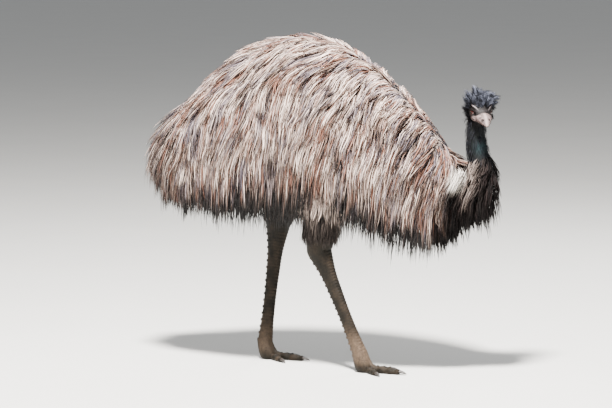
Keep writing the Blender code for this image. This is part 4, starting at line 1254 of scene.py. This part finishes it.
def rump_coat(body, count):
    """The long feathers of the rump, which hang behind the trunk."""
    sizes = coat_sizes()
    dice = np.random.default_rng(41)

    def keep(middles, out):
        return (middles[:, 0] < -0.40) * (0.5 + 0.5 * step(out[:, 2], -0.95, -0.4))

    def length_of(starts):
        return sizes.feather_length * dice.uniform(0.9, 1.3, len(starts))

    lie = hanging((-0.85, 0.30, -1.0), 0.25, 6)
    starts, reach, paths, outs = locks_over(
        body, dice, keep, length_of, lie, tries=4000, spacing=sizes.lock_spacing * 0.85, fringed=True)
    lift = sizes.lift * 0.9 * np.clip(reach / sizes.feather_length, 0.3, 1.0)
    return body_plumage("coat_rump", body, count, dice, keep, starts, (paths, outs, lift), 0.58)


def neck_share_at(points):
    """Which share of the neck's length each point lies beside."""
    shares = np.linspace(0.0, 1.0, 60)
    centres = np.array([neck_frame(s)[0] for s in shares])
    return shares[nearest(centres, points)]


def ruff_coat(body, count):
    """The dark, hair-like feathers of the breast and lower neck, browner in the middle of its right side."""
    dice = np.random.default_rng(51)

    def keep(middles, out):
        inside = (middles[:, 0] > 0.435) & (neck_share_at(middles) < NECK_PARTING + 0.05)
        return inside * (1.0 + 1.5 * step(-middles[:, 0], -0.52, -0.48))

    def length_of(starts):
        return (0.115 - 0.085 * neck_share_at(starts)) * dice.uniform(0.85, 1.15, len(starts))

    lie = hanging((-0.20, 0.45, -1.0), 0.25, 7)
    starts, reach, paths, outs = locks_over(
        body, dice, keep, length_of, lie, tries=5000, spacing=coat_sizes().lock_spacing * 0.7, fringed=True)
    lift = (0.062 - 0.042 * neck_share_at(starts)) * np.clip(reach / 0.08, 0.3, 1.0)
    roots, out = scatter(body, count, dice, keep)
    x, y, z = roots.T
    brown = around(x, 0.558, 0.020) * step(-y, 0.012, 0.035) * step(z, 0.59, 0.66) * step(-z, -0.78, -0.72)
    feathers = feather_sizes(count, dice, *RUFF_FEATHER, stray=0.006)
    behind = plumage_tones(roots, out, wisps(body, roots, dice, keep), feathers[3], dice)
    ahead = dark_tones(roots, "ruff_black", "feather_dark", dice, 0.26 * brown, "feather_pale")
    share = step(x, 0.455, 0.505)[:, None, None]
    tones = behind * (1 - share) + ahead * share
    return grow("coat_ruff", roots, out, (paths, outs, lift), feathers, body_axis(), tones, dice)


def neck_coat(body, count):
    """Short, hair-like feathers down the upper neck, thin enough in front for the skin to show."""
    dice = np.random.default_rng(61)

    def keep(middles, out):
        front = step(out[:, 0] * 0.45 - out[:, 1] * 0.89, 0.55, 0.9) * around(middles[:, 2], 0.745, 0.035)
        return (neck_share_at(middles) > NECK_PARTING - 0.02) * (1.0 - 0.35 * front)

    def length_of(starts):
        return 0.023 * dice.uniform(0.7, 1.3, len(starts))

    def lie(points, out):
        down = np.tile((0.0, 0.0, -1.0), (len(points), 1))
        return swayed(laid_down(down, out), out, 0.3 * drift(points, 0.03, 8))

    starts, _, paths, outs = locks_over(
        body, dice, keep, length_of, lie, tries=3000, spacing=0.010, clearance=0.001)
    roots, out = scatter(body, count, dice, keep)
    # A few neck hairs get the painted sheen
    tones = dark_tones(roots, "ruff_black", "hair", dice, 0.05, "hair_sheen")
    feathers = feather_sizes(count, dice, *NECK_HAIR, gather=(-0.5, 0.3), stray=0.002)
    locks = (paths, outs, np.full(len(starts), 0.009))
    return grow("coat_neck", roots, out, locks, feathers, body_axis(), tones, dice)


def head_cover(middles, out):
    """How thick the hair grows on the head: on crown and sides, and not round the eyes or on the brows."""
    x, y, z = in_head(middles).T
    off_eye = step(np.hypot(x - 0.004, z - EYE_LEVEL), 0.018, 0.023)
    crown = step(z, 0.004, 0.014) * step(-x, -0.032, -0.022)
    sides = step(-x, -0.004, 0.008) * (off_eye + crown).clip(0, 1)
    brow = 0.007 * step(np.abs(y), 0.012, 0.020) * step(x, -0.012, -0.002)
    return np.maximum(crown * step(z - brow, 0.012, 0.020), sides) * (1.0 + 1.0 * step(z, 0.01, 0.025))


def crest_lie(points, out):
    """The lie of the head's hair: back over the sides, up on the crown, and drooping on its far side."""
    turn = np.array(head_place())[:3, :3]
    place = in_head(points)
    high = step(place[:, 2], 0.0, 0.022)[:, None]
    spread = turn @ np.array(Y) * (place[:, 1] / 0.030).clip(-0.15, 0.80)[:, None]
    droop = (step(np.linalg.norm(place, axis=1), 0.045, 0.068) * step(place[:, 1], -0.030, 0.010))[:, None]
    back, rise = turn @ np.array((-1.0, 0.0, 0.10)), turn @ np.array((-0.25, 0.0, 0.75))
    stray = np.column_stack([drift(points, 0.02, seed) for seed in (14, 15, 16)])
    way = back * (1 - high) * 0.7 + (rise + spread) * high + out * (0.60 + 0.15 * high) + 0.40 * stray
    return unit(unit(way) - np.array(Z) * 0.75 * droop)


def head_coat(head, count):
    """Black, hair-like feathers: an upright crest on the crown, and shorter ones back over the sides."""
    dice = np.random.default_rng(71)

    def length_of(starts):
        x, _, z = in_head(starts).T
        crest = step(z, 0.004, 0.024) * step(-x, -0.018, 0.006)
        return (0.023 + 0.012 * crest) * dice.uniform(0.5, 1.5, len(starts))

    starts, _, paths, outs = locks_over(
        head, dice, head_cover, length_of, crest_lie, tries=2500, spacing=0.0065, clearance=0.0008)
    roots, out = scatter(head, count, dice, head_cover)
    gloss = np.clip(0.13 + 0.32 * wisps(head, roots, dice, head_cover)[0], 0.02, 0.75)
    # The painted sheen is kept to the top of the head, where the light falls
    gloss *= step(in_head(roots)[:, 2], 0.0, 0.020)
    tones = dark_tones(roots, "hair", "hair", dice, gloss, "hair_sheen")
    feathers = feather_sizes(count, dice, *HEAD_HAIR, gather=(-0.4, 0.4), stray=0.004)
    locks = (paths, outs, np.full(len(starts), 0.003))
    skull_line = [tuple(head_place() @ Vector((x, 0.0, -0.004))) for x in np.linspace(-0.07, 0.10, 40)]
    return grow("coat_head", roots, out, locks, feathers, skull_line, tones, dice)


def thigh_coat(side, thigh, count):
    """Feathers that cover the thigh down to the hock."""
    leg = LEGS[side]
    dice = np.random.default_rng(81 if side == "right" else 82)
    top, low = leg_point(leg, 0.14).z, leg_point(leg, 0.395).z

    def keep(middles, out):
        return (middles[:, 2] < top) & (middles[:, 2] > low)

    def near_hock(starts):
        return step(-starts[:, 2], -(low + 0.07), -low)

    def length_of(starts):
        return 0.080 * dice.uniform(0.8, 1.2, len(starts)) * (1.0 - 0.65 * near_hock(starts))

    lie = hanging((-0.15, 0.0, -1.0), 0.2, 9)
    starts, _, paths, outs = locks_over(thigh, dice, keep, length_of, lie, tries=2500, spacing=0.016)
    roots, out = scatter(thigh, count, dice, keep)
    upper = step(roots[:, 2], low + 0.085, low + 0.15)
    tones = dark_tones(roots, "ruff_black", "feather_dark", dice, 0.10 + 0.80 * upper, "feather_pale")
    feathers = feather_sizes(count, dice, *THIGH_FEATHER, stray=0.003)
    locks = (paths, outs, 0.022 * (1.0 - 0.6 * near_hock(starts)))
    line = [tuple(leg_point(leg, s)) for s in np.linspace(0.0, 0.6, 40)]
    return grow(f"coat_thigh_{side}", roots, out, locks, feathers, line, tones, dice)


def make_eye(side, sign, centre):
    """An eyeball with its pupil and iris painted round the way it looks."""
    bm = bmesh.new()
    bmesh.ops.create_uvsphere(bm, u_segments=48, v_segments=32, radius=EYE_RADIUS)
    obj = new_object(f"eyeball_{side}", bm)
    gaze = np.array((math.sin(EYE_TOE_IN), sign * math.cos(EYE_TOE_IN), 0.0))
    places = points_of(obj.data)
    angle = np.degrees(np.arccos(np.clip(unit(places) @ gaze, -1, 1)))
    tones = mix(colour("iris"), colour("pupil"), step(-angle, -25.0, -21.0))
    paint(obj, mix(tones, colour("eye_rim"), step(angle, 84.0, 90.0)))
    obj.data.transform(head_place() @ Matrix.Translation(centre))
    return obj


def make_claw(side, toe):
    """A blunt, slightly hooked nail on the end of a toe."""
    ground, along, reach, sizes = toe_frame(side, toe)
    root = ground + along * (reach + CLAW_GAP)
    rings = []
    for share in np.linspace(0.0, 1.0, 12):
        scale = 0.72 * (1.0 - share ** 2.2) + 0.12 * share
        height = sizes[3] * (1.15 - 0.45 * share ** 2) - CLAW_DROP * share
        centre = root + along * CLAW_LENGTH * share + Z * height
        wide, high = sizes[2] * scale, sizes[3] * scale
        ring = oval(centre, Z.cross(along), Z, wide, high * 0.9, high * 0.7, 20)
        rings.append([Vector((p.x, p.y, max(0.0, p.z))) for p in ring])
    return swept(f"nail_{toe[0]}_{side}", rings)


FLESH = ["torso", "tail", "neck_lower", "neck_upper", "head", "bill_upper", "bill_lower"]


class EMU_OT_skin(bpy.types.Operator):
    """Makes the one skin of the bird, with its bill, legs and toes"""
    bl_idname = "emu.skin"
    bl_label = "Skin"

    def execute(self, context):
        skin = body_core()
        skin.name = "skin"
        others = [head_skin(), *[leg_skin(side) for side in LEGS]]
        others += [toe_skin(side, toe) for side in LEGS for toe in TOES]
        boolean(skin, others, "UNION")
        skin.data.shade_smooth()
        paint(skin, *skin_marks(points_of(skin.data)))
        nodes = FLESH + [f"{part}_{side}" for part in ("thigh", "tarsus", "foot") for side in LEGS]
        nodes += [f"toe_{toe[0]}_{side}" for toe in TOES for side in LEGS]
        finish(skin, skin_material(), nodes)
        return {"FINISHED"}


class EMU_OT_coat(bpy.types.Operator):
    """Grows the coat of feathers, in pieces, on forms like the skin's that are then taken away"""
    bl_idname = "emu.coat"
    bl_label = "Coat"

    def execute(self, context):
        sizes = coat_sizes()
        body, head = body_core(), head_skin()
        legs = {side: leg_skin(side) for side in LEGS}
        plumes = [trunk_coat(body, piece, sizes.trunk_feathers) for piece in TRUNK_PIECES]
        plumes.append(rump_coat(body, sizes.rump_feathers))
        hairs = [ruff_coat(body, sizes.ruff_feathers), neck_coat(body, sizes.neck_feathers)]
        hairs.append(head_coat(head, sizes.head_feathers))
        hairs += [thigh_coat(side, legs[side], sizes.thigh_feathers) for side in LEGS]
        plumage = feather_material("emu_plumage", 0.62, 0.04, 0.16)
        hair = feather_material("hair_like_feather", 0.60, 0.0, 0.07)
        for pieces, material, slot in ((plumes, plumage, "plumage"), (hairs, hair, "ruff")):
            for piece in pieces:
                finish(piece, material)
        for shape in (body, head, *legs.values()):
            bpy.data.objects.remove(shape)
        return {"FINISHED"}


class EMU_OT_eyes(bpy.types.Operator):
    """Makes the two eyes"""
    bl_idname = "emu.eyes"
    bl_label = "Eyes"

    def execute(self, context):
        wet = eye_material()
        for side, sign, centre in each_side((0.0, EYE_INSET, EYE_LEVEL)):
            finish(make_eye(side, sign, centre), wet, [f"eye_{side}"])
        return {"FINISHED"}


class EMU_OT_claws(bpy.types.Operator):
    """Makes the six claws"""
    bl_idname = "emu.claws"
    bl_label = "Claws"

    def execute(self, context):
        horn = claw_material()
        for side in LEGS:
            for toe in TOES:
                finish(make_claw(side, toe), horn, [f"claw_{toe[0]}_{side}"])
        return {"FINISHED"}


def add_light(name, place, size, power, shade):
    """A round studio lamp that points at the bird."""
    lamp = bpy.data.lights.new(name, "AREA")
    lamp.shape = "DISK"
    lamp.size, lamp.energy, lamp.color = size, power, shade
    obj = bpy.data.objects.new(name, lamp)
    bpy.context.scene.collection.objects.link(obj)
    obj.location = place
    obj.rotation_euler = (Vector(place) - LIT_POINT).to_track_quat("Z", "Y").to_euler()


class EMU_OT_stage(bpy.types.Operator):
    """Makes the floor, the studio light and the camera"""
    bl_idname = "emu.stage"
    bl_label = "Studio"

    def execute(self, context):
        bm = bmesh.new()
        bmesh.ops.create_circle(bm, segments=96, radius=FLOOR_RADIUS, cap_ends=True)
        floor = new_object("floor", bm)
        floor.data.materials.append(floor_material())
        world = bpy.data.worlds.new("studio")
        world.use_nodes = True
        sky = world.node_tree.nodes["Background"]
        sky.inputs["Color"].default_value = SKY_COLOUR
        sky.inputs["Strength"].default_value = SKY_STRENGTH
        context.scene.world = world
        for light in LIGHTS:
            add_light(*light)
        rise = math.asin((CAMERA_HEIGHT - CAMERA_TARGET.z) / CAMERA_DISTANCE)
        back = Vector((math.sin(CAMERA_AZIMUTH) * math.cos(rise), -math.cos(CAMERA_AZIMUTH) * math.cos(rise),
                       math.sin(rise)))
        camera = bpy.data.cameras.new("camera")
        camera.lens = CAMERA_LENS
        camera.sensor_width = 36.0
        view = bpy.data.objects.new("camera", camera)
        context.scene.collection.objects.link(view)
        view.location = CAMERA_TARGET + back * CAMERA_DISTANCE + SHIFT
        view.rotation_euler = back.to_track_quat("Z", "Y").to_euler()
        context.scene.camera = view
        return {"FINISHED"}


class EMU_PT_panel(bpy.types.Panel):
    """Lists the pieces of the emu model and their sizes"""
    bl_idname = "EMU_PT_panel"
    bl_label = "Emu model"
    bl_space_type = "VIEW_3D"
    bl_region_type = "UI"
    bl_category = "Emu"

    def draw(self, context):
        for group in (context.scene.emu_form, context.scene.emu_coat, context.scene.emu_colours):
            box = self.layout.box()
            for name in group.bl_rna.properties.keys():
                if name not in ("rna_type", "name"):
                    box.prop(group, name)
        for kind in OPERATORS:
            self.layout.operator(kind.bl_idname)


OPERATORS = (EMU_OT_skin, EMU_OT_coat, EMU_OT_eyes, EMU_OT_claws, EMU_OT_stage)
CLASSES = (EmuForm, EmuCoat, EmuColours, *OPERATORS, EMU_PT_panel)


def register():
    for kind in CLASSES:
        bpy.utils.register_class(kind)
    bpy.types.Scene.emu_form = bpy.props.PointerProperty(type=EmuForm)
    bpy.types.Scene.emu_coat = bpy.props.PointerProperty(type=EmuCoat)
    bpy.types.Scene.emu_colours = bpy.props.PointerProperty(type=EmuColours)


def unregister():
    del bpy.types.Scene.emu_form
    del bpy.types.Scene.emu_coat
    del bpy.types.Scene.emu_colours
    for kind in reversed(CLASSES):
        bpy.utils.unregister_class(kind)


def main():
    register()
    bpy.ops.emu.skin()
    bpy.ops.emu.coat()
    bpy.ops.emu.eyes()
    bpy.ops.emu.claws()
    bpy.ops.emu.stage()


if __name__ == "__main__":
    main()
